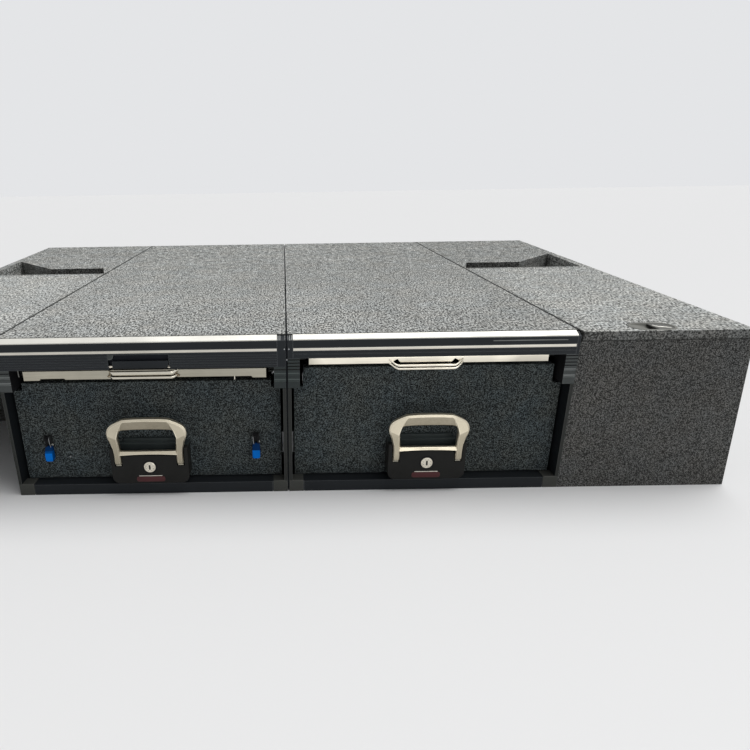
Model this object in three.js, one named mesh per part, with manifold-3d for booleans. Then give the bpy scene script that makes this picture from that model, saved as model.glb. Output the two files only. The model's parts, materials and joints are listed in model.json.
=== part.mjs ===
// Rear drawer kitchen unit for the load area of a wagon: two drawer modules side by side, each with a
// slide-out stainless table above its drawer, and a carpeted wing on each outer side.
// Millimetres, +Z up, +X to the right and +Y into the vehicle. Until the last lines Y is counted from the
// front plane of the rails, and the finished group is moved so that its origin is the middle of its base.
// u is a distance from the seam between the two modules outwards: X = side * u.

import * as THREE from 'three';
import { mergeVertices } from 'three/addons/utils/BufferGeometryUtils.js';
import Module from 'manifold-3d';

const wasm = await Module();
wasm.setup();

// Facets of round shapes
const rodSides = 16;
const thinRodSides = 12;
const drumSides = 32;
const cornerSteps = 6;
const endSteps = 8;

// Clearances
const touch = 0.3; // between pieces that rest on or slide in each other
const overlap = 0.6; // how far joined shapes run into each other
const overrun = 4; // how far a cutter passes the face it cuts

// Whole unit
const unitDepth = 1200;
const unitTop = 282;
const moduleOuter = 470; // u of a module's outer face
const seamHalf = 1.5; // half of the open seam between the modules
const boardThickness = 15;
const boardUnder = unitTop - boardThickness;
const seatUnder = boardUnder - touch; // top of everything that carries a board

// What differs between the modules
const leftRailUnder = 231; // height of the front rail's lower edge
const leftInnerCap = 13.5; // width of the cap at the rail's inner end
const leftTableDrop = 2; // from the rail's lower edge down to the table
const leftTableTurnDown = 17;
const leftLipRoot = 3; // what the table's front edge keeps above the opening for the fingers
const leftPullInner = 178; // u of the table's pull
const leftPullLength = 106;
const leftPullDrop = 14; // from the table's top to the pull's lower edge
const leftFrontGap = 14; // from the pull's lower edge down to the drawer front
const rightRailUnder = 245;
const rightInnerCap = 8.5;
const rightTableTurnDown = 12;
const rightLipRoot = 3.8;
const rightPullInner = 165;
const rightPullLength = 122;
const rightPullDrop = 20.7;
const rightFrontGap = 2.5;

// Side walls, extruded along Y
const wallWeb = 5.5;
const wallFlangeThickness = 3;
const wallFootWidth = 22;
const wallHeadWidth = 20;
const ledgeThickness = 3;
const raceHeight = 46; // outer height of the drawer race in the wall
const raceThickness = 2.2;
const raceReach = 10;
const raceMiddle = 75; // height of the drawer slides
const spacerRadius = 14; // pads between the two inner walls, where the modules are bolted together
const spacerHeight = 150;
const spacerShares = [0.15, 0.5, 0.85];
const rearPanelThickness = 15;
const wallEnd = unitDepth - rearPanelThickness - touch;

// Front rails, trims and corner blocks
const railNoseBase = 275;
const noseDepth = 12;
const noseRise = 1.5; // upright part of the nose trim
const railWeb = 3.2;
const railShelf = 34;
const railLip = 12;
const railSkin = 3;
const beadLow = 257;
const beadHigh = 263;
const beadProud = 0.8;
const grooveDepth = 0.7;
const groovePitch = 4.2;
const grooveWidth = 1.4;
const outerCap = 4.5; // width of the cap at a rail's outer end
const blockWidth = 19.5;
const blockDepth = 40;
const blockUnder = 193.5;
const blockPlain = 13.5; // height of the smooth foot of a block
const ribPitch = 6;
const ribGroove = 2.2;
const ribDepth = 1.2;

// Bottom rails
const footRailHeight = 20;
const footRailDepth = 23.7;
const footRailWeb = 4;
const footRailSkin = 3;
const footBlockWidth = 25;
const footJointWidth = 1.2;
const footJointDepth = 1.5;

// Base trays
const traySkin = 1.6;
const trayRibRise = 3.4;
const trayRibWidth = 24;
const trayRibSlope = 5;
const trayRibCount = 4;

// Drawers
const frontPlane = 22; // how far the drawer fronts stand behind the rails
const frontThickness = 15;
const frontUnder = 22;
const frontSideGap = 4.5;
const frontShoulder = 188; // the front is narrower above this, beside the corner blocks
const frontShoulderGap = 6;
const boxSkin = 1.6;
const boxSideRoom = 19; // from a wall's web to the drawer box
const boxUnder = 22;
const boxDepth = 1050;
const boxFloorLift = 3;
const boxDrop = 15; // from the top of a drawer front to that of its box
const midWeb = 2;
const midSkin = 1.8;
const midBack = 0.6; // from a wall's web to the middle member
const midReach = 12;
const midLength = 1000;
const midSetback = 5;
const innerRaceReach = 14;
const innerRaceSkin = 2;

// Slide-out tables
const tableSheet = 1.5;
const tableLength = 900;
const tableFrontPlane = 4;
const tableInnerEdge = 34; // u of the table's edge nearer the seam
const tableOuterEdge = 430;
const tableFlangeClear = 0.5; // from a table's flange to the corner blocks
const ledgeTableGap = 3; // from a wall's ledge to the table's upright side
const tableTurnUnder = 15;
const pullReach = 10;
const pullSlope = 14;
const pullStrap = 1.6;

// Drawer handles, about the middle of each drawer
const handleMiddle = 236.5;
const handleFront = -13;
const handleThickness = 12;
const handleBevel = 2.4;
const handleHalf = 67;
const handleTop = 147;
const handleLegFoot = 62.5;
const handleLegOuter = 58.5;
const handleLegInner = 47.5;
const handleWaist = 92;
const handleWide = 120;
const handleShoulder = 134;
const handleShoulderHalf = 60;
const handleTopHalf = 38;
const handleEyeTop = 126;
const handleEyeHalf = 49;
const handleEyeTopHalf = 45;
const handleEyeCorner = 9;
const handleBarLow = 79.5;
const handleBarHigh = 87;
const pivotHeight = 68;
const pivotRadius = 2.5;
const pivotStub = 4;
const baseHalf = 66;
const baseLow = 25;
const baseEarTop = 92;
const baseMiddleTop = 77;
const baseFront = -8;
const baseCorner = 13;
const baseSlotInner = 46.5;
const baseSlotOuter = 59.5;
const baseSlotFloor = 58;
const baseSlotBack = 4;
const baseShelfTop = 99;
const baseShelfThickness = 8;
const badgeHalf = 24;
const badgeLow = 28;
const badgeHigh = 40;
const badgeDepth = 0.9;
const housingHalf = 38;
const housingLow = 31;
const housingHigh = 75;
const barrelRadius = 10.8;
const barrelHeight = 56.5;
const barrelProud = 1.6;
const barrelLength = 20;
const keySlotWidth = 2;
const keySlotLength = 9;
const keySlotDepth = 3;
const tongueHalf = 9;
const tongueThickness = 5.4;
const tongueLow = 11;
const tongueHigh = 52;
const tongueTravel = 12;
const tongueSetback = 2; // from the drawer front's face to the tongue

// Lock paddle in the left rail
const paddleInner = 193;
const paddleLength = 92;
const paddleOuter = paddleInner + paddleLength;
const paddleHeight = 12.7;
const paddleThickness = 5;
const paddleSetback = 1;
const paddleWindowHeight = 24;
const paddleEndGap = 3;
const paddlePivotRise = 3.4;
const paddlePinRadius = 1.3;
const paddlePinReach = 5;

// Spring catches with blue grips on the left drawer front
const catchPlaces = { outer: 410, inner: 55 };
const catchTop = 112;
const catchPlateLow = 60;
const catchPlateHalf = 9;
const catchPlateThickness = 2;
const catchEarReach = 12;
const catchEarLow = 98;
const catchEarThickness = 2;
const catchPinRadius = 1.6;
const catchPinRise = 105;
const catchPinReach = 6; // from the plate to the pin's axis
const gripHalf = 6.6;
const gripLow = 62;
const gripHigh = 93;
const gripDepth = 11;
const gripCorner = 2.5;
const gripLegWidth = 3;
const gripLegDepth = 4;

// Wings
const wingGap = 2;
const wingInner = moduleOuter + wingGap; // u of the boards on top
const wingSeat = moduleOuter + touch; // u where the wing's panels are fastened to the module
const wingFrontEdge = 746; // u of the top's outer edge at the front
const wingRearEdge = 844;
const wingLean = 15; // how far the outer panel's foot stands out past its top
const wingPanel = 15;
const recessNear = 615;
const recessWidth = 97;
const recessFar = recessNear + recessWidth;
const recessCorner = 650; // u where the recess's far wall turns towards the outer edge
const recessRun = 173; // how far along Y that wall then goes until it meets the outer edge
const recessOuter = recessFar + recessRun;
const recessDepth = 45;
const recessLip = 3; // width of the inner wall's top at its near end
const recessLean = 28; // how far the inner wall then leans outwards
const recessRim = 20; // width of the rim along the wing's outer edge
const scoopPanel = 10; // thickness of the recess's floor
const scoopWall = 8;
const lidHingeGap = 2;
const bulkheadPlace = 320;
const leftRailHeight = 32;

// Flush latches in the lids
const latchInset = 88; // from the lid's inner edge to the latch
const latchHalf = 36;
const latchNear = 4;
const latchWidth = 43;
const latchDepth = 12;
const latchFlange = 3;
const latchFlangeRise = 1;
const latchWall = 2;
const latchPaddleStart = 2; // u from the latch's middle to the paddle's free edge
const latchPaddleThickness = 2.4;
const latchPinRadius = 0.9;
const latchPinDepth = 1; // from the top of the unit to the pin's axis
const latchPinInset = 11;

// Finishes
const finish = {
  carpet: { color: 0x66696b, roughness: 0.96, metalness: 0 },
  graphite: { color: 0x3d4145, roughness: 0.5, metalness: 0.7 },
  bright: { color: 0xdedcd8, roughness: 0.3, metalness: 0.9 },
  stainless: { color: 0xc8c2b6, roughness: 0.35, metalness: 0.9 },
  cast: { color: 0xb7ae9d, roughness: 0.45, metalness: 0.8 },
  plastic: { color: 0x2b2d30, roughness: 0.6, metalness: 0 },
  grey: { color: 0x737672, roughness: 0.6, metalness: 0 },
  zinc: { color: 0x9b9ea1, roughness: 0.45, metalness: 0.8 },
  nickel: { color: 0xcfc9ba, roughness: 0.3, metalness: 0.9 },
  blue: { color: 0x1473bd, roughness: 0.45, metalness: 0 },
};

const unit = new THREE.Group();

// Shapes

function closed(geometry) {
  const bare = geometry.clone();
  bare.deleteAttribute('normal');
  bare.deleteAttribute('uv');
  const merged = mergeVertices(bare);
  return new wasm.Manifold(
    new wasm.Mesh({
      numProp: 3,
      vertProperties: merged.attributes.position.array,
      triVerts: new Uint32Array(merged.index.array),
    }),
  );
}

function span(a, b) {
  return { low: Math.min(a, b), size: Math.abs(b - a), middle: (a + b) / 2 };
}

function block([x0, x1], [y0, y1], [z0, z1]) {
  const [x, y, z] = [span(x0, x1), span(y0, y1), span(z0, z1)];
  const box = new THREE.BoxGeometry(x.size, y.size, z.size);
  return closed(box.translate(x.middle, y.middle, z.middle));
}

function outline(points, holes = []) {
  const shape = new THREE.Shape(points.map(([a, b]) => new THREE.Vector2(a, b)));
  for (const hole of holes) {
    shape.holes.push(new THREE.Path(hole.map(([a, b]) => new THREE.Vector2(a, b))));
  }
  return shape;
}

function plainExtrusion(shape, depth) {
  return new THREE.ExtrudeGeometry(shape, { depth, bevelEnabled: false, curveSegments: 1 });
}

// Outline in Y and Z, drawn along X
function alongX(points, [x0, x1]) {
  const x = span(x0, x1);
  const swap = new THREE.Matrix4().set(0, 0, 1, x.low, 1, 0, 0, 0, 0, 1, 0, 0, 0, 0, 0, 1);
  return closed(plainExtrusion(outline(points), x.size).applyMatrix4(swap));
}

// Outline in X and Z, drawn along Y
function alongY(points, [y0, y1]) {
  const y = span(y0, y1);
  const geometry = plainExtrusion(outline(points), y.size).rotateX(Math.PI / 2);
  return closed(geometry.translate(0, y.low + y.size, 0));
}

// Outline in X and Y, drawn upwards
function upwards(points, [z0, z1]) {
  const z = span(z0, z1);
  return closed(plainExtrusion(outline(points), z.size).translate(0, 0, z.low));
}

function rodAlongX(radius, [x0, x1], y, z, sides = rodSides) {
  const x = span(x0, x1);
  const rod = new THREE.CylinderGeometry(radius, radius, x.size, sides).rotateZ(Math.PI / 2);
  return closed(rod.translate(x.middle, y, z));
}

function rodAlongY(radius, [y0, y1], x, z, sides = drumSides) {
  const y = span(y0, y1);
  const rod = new THREE.CylinderGeometry(radius, radius, y.size, sides);
  return closed(rod.translate(x, y.middle, z));
}

// Six-sided solid between a lower and an upper ring of four corners
function loft(lower, upper) {
  const corners = [...lower, ...upper].flat();
  const faces = [[0, 3, 2, 1], [4, 5, 6, 7], [0, 1, 5, 4], [1, 2, 6, 5], [2, 3, 7, 6], [3, 0, 4, 7]];
  const geometry = new THREE.BufferGeometry();
  geometry.setAttribute('position', new THREE.Float32BufferAttribute(corners, 3));
  const triangles = faces.flatMap(([a, b, c, d]) => [a, b, c, a, c, d]);
  const [a, b, c] = [lower[0], lower[1], lower[2]];
  const turn = (b[0] - a[0]) * (c[1] - a[1]) - (b[1] - a[1]) * (c[0] - a[0]);
  geometry.setIndex(turn > 0 ? triangles : triangles.reverse());
  return closed(geometry);
}

function arc([cx, cy], radius, from, to, steps) {
  const points = [];
  for (let i = 0; i <= steps; i += 1) {
    const angle = from + ((to - from) * i) / steps;
    points.push([cx + radius * Math.cos(angle), cy + radius * Math.sin(angle)]);
  }
  return points;
}

function joined(...solids) {
  return solids.reduce((all, solid) => all.add(solid));
}

function cut(solid, ...cutters) {
  return cutters.reduce((rest, cutter) => rest.subtract(cutter), solid);
}

function place(name, solid, look) {
  const made = solid.getMesh();
  const geometry = new THREE.BufferGeometry();
  geometry.setAttribute('position', new THREE.BufferAttribute(made.vertProperties, 3));
  geometry.setIndex(new THREE.BufferAttribute(made.triVerts, 1));
  geometry.computeVertexNormals();
  const mesh = new THREE.Mesh(geometry, new THREE.MeshStandardMaterial(look));
  mesh.name = name;
  unit.add(mesh);
}

const reach = (side, from, to) => [side * from, side * to];
const sidewards = (side, points) => points.map(([u, v]) => [side * u, v]);

// The two modules differ in how deep the front rail is and in what the table and the drawer leave below it
function moduleOf(name, side, sizes) {
  const tableTop = sizes.railUnder - sizes.tableDrop;
  const pullLow = tableTop - sizes.pullDrop;
  const frontTop = pullLow - sizes.frontGap;
  return { ...sizes, name, side, tableTop, pullLow, frontTop, boxTop: frontTop - boxDrop };
}

const modules = [
  moduleOf('left', -1, {
    railUnder: leftRailUnder,
    innerCap: leftInnerCap,
    tableDrop: leftTableDrop,
    tableTurnDown: leftTableTurnDown,
    lipRoot: leftLipRoot,
    pullInner: leftPullInner,
    pullOuter: leftPullInner + leftPullLength,
    pullDrop: leftPullDrop,
    frontGap: leftFrontGap,
  }),
  moduleOf('right', 1, {
    railUnder: rightRailUnder,
    innerCap: rightInnerCap,
    tableDrop: touch,
    tableTurnDown: rightTableTurnDown,
    lipRoot: rightLipRoot,
    pullInner: rightPullInner,
    pullOuter: rightPullInner + rightPullLength,
    pullDrop: rightPullDrop,
    frontGap: rightFrontGap,
  }),
];

// Top board: carpeted ply over one module
function topBoard({ name, side }) {
  const deep = [noseDepth + touch, unitDepth];
  const board = block(reach(side, seamHalf, moduleOuter), deep, [boardUnder, unitTop]);
  place(`top_board_${name}`, board, finish.carpet);
}

// Side wall: extruded web with a foot, a head, the drawer race and the two ledges of the table's channel
function sideWall({ name, side, tableTop, tableTurnDown }, isOuter) {
  const face = isOuter ? moduleOuter : seamHalf;
  const inwards = isOuter ? -1 : 1;
  const at = (reachIn) => face + inwards * reachIn;
  const bar = (from, to, low, high) =>
    block(reach(side, at(from), at(to)), [blockDepth + touch, wallEnd], [low, high]);
  const web = block(reach(side, at(0), at(wallWeb)), [0, wallEnd], [0, seatUnder]);
  const start = wallWeb - overlap;
  const foot = bar(start, wallFootWidth, 0, wallFlangeThickness);
  const head = bar(start, wallHeadWidth, seatUnder - wallFlangeThickness, seatUnder);
  const raceEnd = wallWeb + raceReach;
  const raceLow = raceMiddle - raceHeight / 2;
  const raceHigh = raceMiddle + raceHeight / 2;
  const race = [
    bar(start, raceEnd, raceLow, raceLow + raceThickness),
    bar(start, raceEnd, raceHigh - raceThickness, raceHigh),
  ];
  const tableEdge = isOuter ? moduleOuter - tableOuterEdge : tableInnerEdge - seamHalf;
  const ledgeEnd = tableEdge - ledgeTableGap;
  const flangeLow = tableTop - tableTurnDown;
  const ledges = [
    bar(start, ledgeEnd, flangeLow - touch - ledgeThickness, flangeLow - touch),
    bar(start, ledgeEnd, flangeLow + tableSheet + touch, flangeLow + tableSheet + touch + ledgeThickness),
  ];
  const spacers = spacerShares.map((share) =>
    rodAlongX(
      spacerRadius,
      reach(side, touch / 2, seamHalf + overlap),
      unitDepth * share,
      spacerHeight,
      drumSides,
    ),
  );
  const across = reach(side, at(-overrun), at(wallWeb + overrun));
  const room = [
    block(across, [-overrun, blockDepth + touch], [blockUnder - touch, unitTop]),
    block(across, [-overrun, footRailDepth + touch], [-overrun, footRailHeight + touch]),
  ];
  const whole = joined(web, foot, head, ...race, ...ledges, ...(isOuter ? [] : spacers));
  const wall = cut(whole, ...room);
  place(`side_wall_${isOuter ? 'outer' : 'inner'}_${name}`, wall, finish.graphite);
}

// Base tray: folded sheet with raised ribs, resting on the feet of the walls
function baseTray({ name, side }) {
  const low = wallFlangeThickness + touch;
  const from = seamHalf + wallWeb + touch;
  const to = moduleOuter - wallWeb - touch;
  const step = (to - from) / (trayRibCount + 1);
  const upper = [];
  const lower = [];
  for (let i = 1; i <= trayRibCount; i += 1) {
    const middle = from + step * i;
    const [foot, crest] = [trayRibWidth / 2, trayRibWidth / 2 - trayRibSlope];
    upper.push([middle - foot, low + traySkin]);
    upper.push([middle - crest, low + traySkin + trayRibRise]);
    upper.push([middle + crest, low + traySkin + trayRibRise]);
    upper.push([middle + foot, low + traySkin]);
    lower.push([middle - foot + traySkin, low]);
    lower.push([middle - crest + traySkin, low + trayRibRise]);
    lower.push([middle + crest - traySkin, low + trayRibRise]);
    lower.push([middle + foot - traySkin, low]);
  }
  const start = [[from, low], [from, low + traySkin]];
  const end = [[to, low + traySkin], [to, low]];
  const points = [...start, ...upper, ...end, ...lower.reverse()];
  const tray = alongY(sidewards(side, points), [footRailDepth + touch, wallEnd]);
  place(`base_tray_${name}`, tray, finish.zinc);
}

// Rear panel: board that closes the back of a module
function rearPanel({ name, side }) {
  const panel = block(reach(side, seamHalf, moduleOuter), [wallEnd + touch, unitDepth], [0, seatUnder]);
  place(`rear_panel_${name}`, panel, finish.carpet);
}

// Bottom rail: channel across the front with a corner piece at each end
function bottomRail({ name, side }) {
  const points = [
    [0, 0],
    [footRailDepth, 0],
    [footRailDepth, footRailSkin],
    [footRailWeb, footRailSkin],
    [footRailWeb, footRailHeight - footRailSkin],
    [footRailDepth, footRailHeight - footRailSkin],
    [footRailDepth, footRailHeight],
    [0, footRailHeight],
  ];
  const rail = alongX(points, reach(side, seamHalf, moduleOuter));
  const joint = (u) =>
    block(
      reach(side, u, u + footJointWidth),
      [-overrun, footJointDepth],
      [-overrun, footRailHeight + overrun],
    );
  const joints = [joint(seamHalf + footBlockWidth), joint(moduleOuter - footBlockWidth - footJointWidth)];
  place(`bottom_rail_${name}`, cut(rail, ...joints), finish.graphite);
}

const railStart = (m) => seamHalf + m.innerCap + touch;
const railEnd = () => moduleOuter - outerCap - touch;

// Front rail: grooved channel under the nose of the top board
function frontRail(m) {
  const points = [
    [railLip, m.railUnder],
    [railLip, m.railUnder + railSkin],
    [railWeb, m.railUnder + railSkin],
    [railWeb, seatUnder - railSkin],
    [railShelf, seatUnder - railSkin],
    [railShelf, seatUnder],
    [noseDepth, seatUnder],
    [noseDepth, railNoseBase],
    [0, railNoseBase],
    [0, beadHigh],
    [-beadProud, beadHigh],
    [-beadProud, beadLow],
    [0, beadLow],
  ];
  for (let z = beadLow - groovePitch; z > m.railUnder + groovePitch; z -= groovePitch) {
    points.push([0, z], [grooveDepth, z - grooveWidth / 2], [0, z - grooveWidth]);
  }
  points.push([0, m.railUnder]);
  let rail = alongX(points, reach(m.side, railStart(m), railEnd()));
  if (m.name === 'left') {
    const windowEnds = [paddleInner - paddleEndGap, paddleOuter + paddleEndGap];
    const windowTop = m.railUnder + paddleWindowHeight;
    const opening = block(
      reach(m.side, ...windowEnds),
      [-overrun, railLip + overrun],
      [m.railUnder - overrun, windowTop],
    );
    const pinEnds = [paddleInner - paddlePinReach - touch, paddleOuter + paddlePinReach + touch];
    const pinHole = rodAlongX(
      paddlePinRadius + touch,
      reach(m.side, ...pinEnds),
      paddleSetback + paddleThickness / 2,
      m.railUnder + paddlePivotRise,
    );
    const cheek = (u) =>
      block(
        reach(m.side, u - railLip / 2, u + railLip / 2),
        [railWeb - overlap, railLip],
        [m.railUnder + railSkin - overlap, windowTop],
      );
    rail = cut(joined(rail, ...windowEnds.map(cheek)), opening, pinHole);
  }
  place(`front_rail_${m.name}`, rail, finish.graphite);
}

// Nose trim: bright bevelled strip in front of the top board
function noseTrim(m) {
  const low = railNoseBase + touch;
  const points = [
    [0, low],
    [noseDepth, low],
    [noseDepth, unitTop],
    [noseDepth - noseRise, unitTop],
    [0, low + noseRise],
  ];
  const trim = alongX(points, reach(m.side, railStart(m), railEnd()));
  place(`nose_trim_${m.name}`, trim, finish.bright);
}

// Corner block: ribbed block at the end of a rail, with the cap that closes the rail's end
function cornerBlock(m, isOuter) {
  const face = isOuter ? moduleOuter : seamHalf;
  const inwards = isOuter ? -1 : 1;
  const cap = isOuter ? outerCap : m.innerCap;
  const top = m.railUnder - touch;
  const body = block(reach(m.side, face, face + inwards * blockWidth), [0, blockDepth], [blockUnder, top]);
  const capPoints = [
    [0, top - overlap],
    [blockDepth, top - overlap],
    [blockDepth, seatUnder],
    [noseDepth, seatUnder],
    [noseDepth, unitTop - noseRise],
    [0, railNoseBase],
  ];
  const capSolid = alongX(capPoints, reach(m.side, face, face + inwards * cap));
  const grooves = [];
  for (let z = blockUnder + blockPlain; z < top - ribPitch; z += ribPitch) {
    const across = reach(m.side, face - overrun, face + inwards * (blockWidth + overrun));
    grooves.push(block(across, [-overrun, ribDepth], [z, z + ribGroove]));
  }
  const name = `corner_block_${isOuter ? 'outer' : 'inner'}_${m.name}`;
  place(name, cut(joined(body, capSolid), ...grooves), finish.plastic);
}

const drawerStart = frontPlane + frontThickness + touch;

// Middle member of a drawer slide: channel that runs in the wall's race
function midSlide(m, isOuter) {
  const face = isOuter ? moduleOuter : seamHalf;
  const inwards = isOuter ? -1 : 1;
  const at = (reachIn) => face + inwards * (wallWeb + midBack + reachIn);
  const half = raceHeight / 2 - raceThickness - touch;
  const points = [
    [at(0), raceMiddle - half],
    [at(midReach), raceMiddle - half],
    [at(midReach), raceMiddle - half + midSkin],
    [at(midWeb), raceMiddle - half + midSkin],
    [at(midWeb), raceMiddle + half - midSkin],
    [at(midReach), raceMiddle + half - midSkin],
    [at(midReach), raceMiddle + half],
    [at(0), raceMiddle + half],
  ];
  const from = drawerStart + midSetback;
  const member = alongY(sidewards(m.side, points), [from, from + midLength]);
  place(`slide_${isOuter ? 'outer' : 'inner'}_${m.name}`, member, finish.zinc);
}

// Drawer box: open steel tub with an inner race along each side
function drawerBox(m) {
  const from = seamHalf + wallWeb + boxSideRoom;
  const to = moduleOuter - wallWeb - boxSideRoom;
  const deep = [drawerStart, drawerStart + boxDepth];
  const tub = block(reach(m.side, from, to), deep, [boxUnder, m.boxTop]);
  const hollow = block(
    reach(m.side, from + boxSkin, to - boxSkin),
    [deep[0] + boxSkin, deep[1] - boxSkin],
    [boxUnder + boxFloorLift, m.boxTop + overrun],
  );
  const half = raceHeight / 2 - raceThickness - touch - midSkin - touch;
  const races = [];
  for (const [edge, outwards] of [[from, -1], [to, 1]]) {
    const low = raceMiddle - half;
    const high = raceMiddle + half;
    const shellEnds = reach(m.side, edge - outwards * overlap, edge + outwards * innerRaceReach);
    const shell = block(shellEnds, deep, [low, high]);
    const inside = block(
      reach(m.side, edge, edge + outwards * (innerRaceReach - innerRaceSkin)),
      [deep[0] - overrun, deep[1] + overrun],
      [low + innerRaceSkin, high - innerRaceSkin],
    );
    races.push(cut(shell, inside));
  }
  place(`drawer_box_${m.name}`, joined(cut(tub, hollow), ...races), finish.zinc);
}

// Drawer front: carpeted board, narrower beside the corner blocks, open behind the handle
function drawerFront(m) {
  const from = seamHalf + wallWeb + frontSideGap;
  const to = moduleOuter - wallWeb - frontSideGap;
  const shoulderFrom = seamHalf + blockWidth + frontShoulderGap;
  const shoulderTo = moduleOuter - blockWidth - frontShoulderGap;
  const points = [
    [from, frontUnder],
    [to, frontUnder],
    [to, frontShoulder],
    [shoulderTo, frontShoulder],
    [shoulderTo, m.frontTop],
    [shoulderFrom, m.frontTop],
    [shoulderFrom, frontShoulder],
    [from, frontShoulder],
  ];
  const board = alongY(sidewards(m.side, points), [frontPlane, frontPlane + frontThickness]);
  const deep = [frontPlane - overrun, frontPlane + frontThickness + overrun];
  const window = block(
    reach(m.side, handleMiddle - housingHalf - touch, handleMiddle + housingHalf + touch),
    deep,
    [housingLow - touch, housingHigh + touch],
  );
  const slot = block(
    reach(m.side, handleMiddle - tongueHalf - touch * 2, handleMiddle + tongueHalf + touch * 2),
    deep,
    [frontUnder - overrun, housingLow],
  );
  place(`drawer_front_${m.name}`, cut(board, window, slot), finish.carpet);
}

const tongueFront = frontPlane + tongueSetback;

// Handle base: black body on the drawer front with ears for the handle and a housing through the board
function handleBase(m) {
  const middle = m.side * handleMiddle;
  const rounded = (top) => [
    ...arc([-baseHalf + baseCorner, baseLow + baseCorner], baseCorner, -Math.PI, -Math.PI / 2, cornerSteps),
    ...arc([baseHalf - baseCorner, baseLow + baseCorner], baseCorner, -Math.PI / 2, 0, cornerSteps),
    [baseHalf, top],
    [-baseHalf, top],
  ];
  const around = (points) => points.map(([x, z]) => [middle + x, z]);
  const about = (half) => [middle - half, middle + half];
  const back = frontPlane - touch;
  const body = alongY(around(rounded(baseEarTop)), [baseFront, back]);
  const shelfDeep = [back - baseShelfThickness, back];
  const shelf = block(about(baseSlotInner), shelfDeep, [baseMiddleTop, baseShelfTop]);
  const housing = block(
    about(housingHalf),
    [back - overlap, frontPlane + frontThickness - touch],
    [housingLow, housingHigh],
  );
  const grip = block(
    about(baseSlotOuter),
    [baseFront - overrun, back - baseShelfThickness],
    [baseMiddleTop, baseEarTop + overrun],
  );
  const slots = [-1, 1].map((way) =>
    block(
      [middle + way * baseSlotInner, middle + way * baseSlotOuter],
      [baseFront - overrun, baseSlotBack],
      [baseSlotFloor, baseEarTop + overrun],
    ),
  );
  const pivotHole = rodAlongX(
    pivotRadius + touch,
    about(handleLegOuter + pivotStub + touch),
    handleFront + handleThickness / 2,
    pivotHeight,
  );
  const boreEnd = baseFront - barrelProud + barrelLength + touch;
  const bore = rodAlongY(barrelRadius + touch, [baseFront - overrun, boreEnd], middle, barrelHeight);
  const channel = block(
    about(tongueHalf + touch),
    [tongueFront - touch, tongueFront + tongueThickness + touch],
    [housingLow - overrun, tongueHigh + tongueTravel + touch],
  );
  const badgeDeep = [baseFront - overrun, baseFront + badgeDepth];
  const badge = block(about(badgeHalf), badgeDeep, [badgeLow, badgeHigh]);
  const solid = cut(joined(body, housing), grip, ...slots, pivotHole, bore, channel, badge);
  place(`handle_base_${m.name}`, solid.add(shelf), finish.plastic);
}

// Handle: cast frame with a grip on top, a cross bar and two legs that turn in the base
function handleFrame(m) {
  const middle = m.side * handleMiddle;
  const rightHalf = [
    [handleLegInner, handleLegFoot],
    [handleLegOuter, handleLegFoot],
    [handleLegOuter, handleWaist],
    [handleHalf, handleWide],
    [handleShoulderHalf, handleShoulder],
    [handleTopHalf, handleTop],
  ];
  const leftHalf = rightHalf.map(([x, z]) => [-x, z]).reverse();
  const eye = [
    [-handleLegInner, handleBarHigh],
    [handleLegInner, handleBarHigh],
    [handleEyeHalf, handleEyeTop - handleEyeCorner],
    [handleEyeTopHalf, handleEyeTop],
    [-handleEyeTopHalf, handleEyeTop],
    [-handleEyeHalf, handleEyeTop - handleEyeCorner],
  ];
  const barUnder = [[-handleLegInner, handleBarLow], [handleLegInner, handleBarLow]];
  const shape = outline([...rightHalf, ...leftHalf, ...barUnder], [eye.reverse()]);
  const frame = new THREE.ExtrudeGeometry(shape, {
    depth: handleThickness - handleBevel * 2,
    bevelThickness: handleBevel,
    bevelSize: handleBevel,
    bevelOffset: -handleBevel,
    bevelSegments: 2,
    curveSegments: 1,
  });
  frame.rotateX(Math.PI / 2).translate(middle, handleFront + handleThickness - handleBevel, 0);
  const pivots = [-1, 1].map((way) =>
    rodAlongX(
      pivotRadius,
      [middle + way * (handleLegOuter - handleBevel * 2), middle + way * (handleLegOuter + pivotStub)],
      handleFront + handleThickness / 2,
      pivotHeight,
    ),
  );
  place(`handle_${m.name}`, joined(closed(frame), ...pivots), finish.cast);
}

// Key barrel of the lock
function lockBarrel(m) {
  const middle = m.side * handleMiddle;
  const front = baseFront - barrelProud;
  const barrel = rodAlongY(barrelRadius, [front, front + barrelLength], middle, barrelHeight);
  const keySlot = block(
    [middle - keySlotWidth / 2, middle + keySlotWidth / 2],
    [front - overrun, front + keySlotDepth],
    [barrelHeight - keySlotLength / 2, barrelHeight + keySlotLength / 2],
  );
  place(`lock_barrel_${m.name}`, cut(barrel, keySlot), finish.nickel);
}

// Latch tongue: drops behind the bottom rail and is lifted by the handle
function latchTongue(m) {
  const middle = m.side * handleMiddle;
  const tongue = block(
    [middle - tongueHalf, middle + tongueHalf],
    [tongueFront, tongueFront + tongueThickness],
    [tongueLow, tongueHigh],
  );
  place(`latch_tongue_${m.name}`, tongue, finish.zinc);
}

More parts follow.
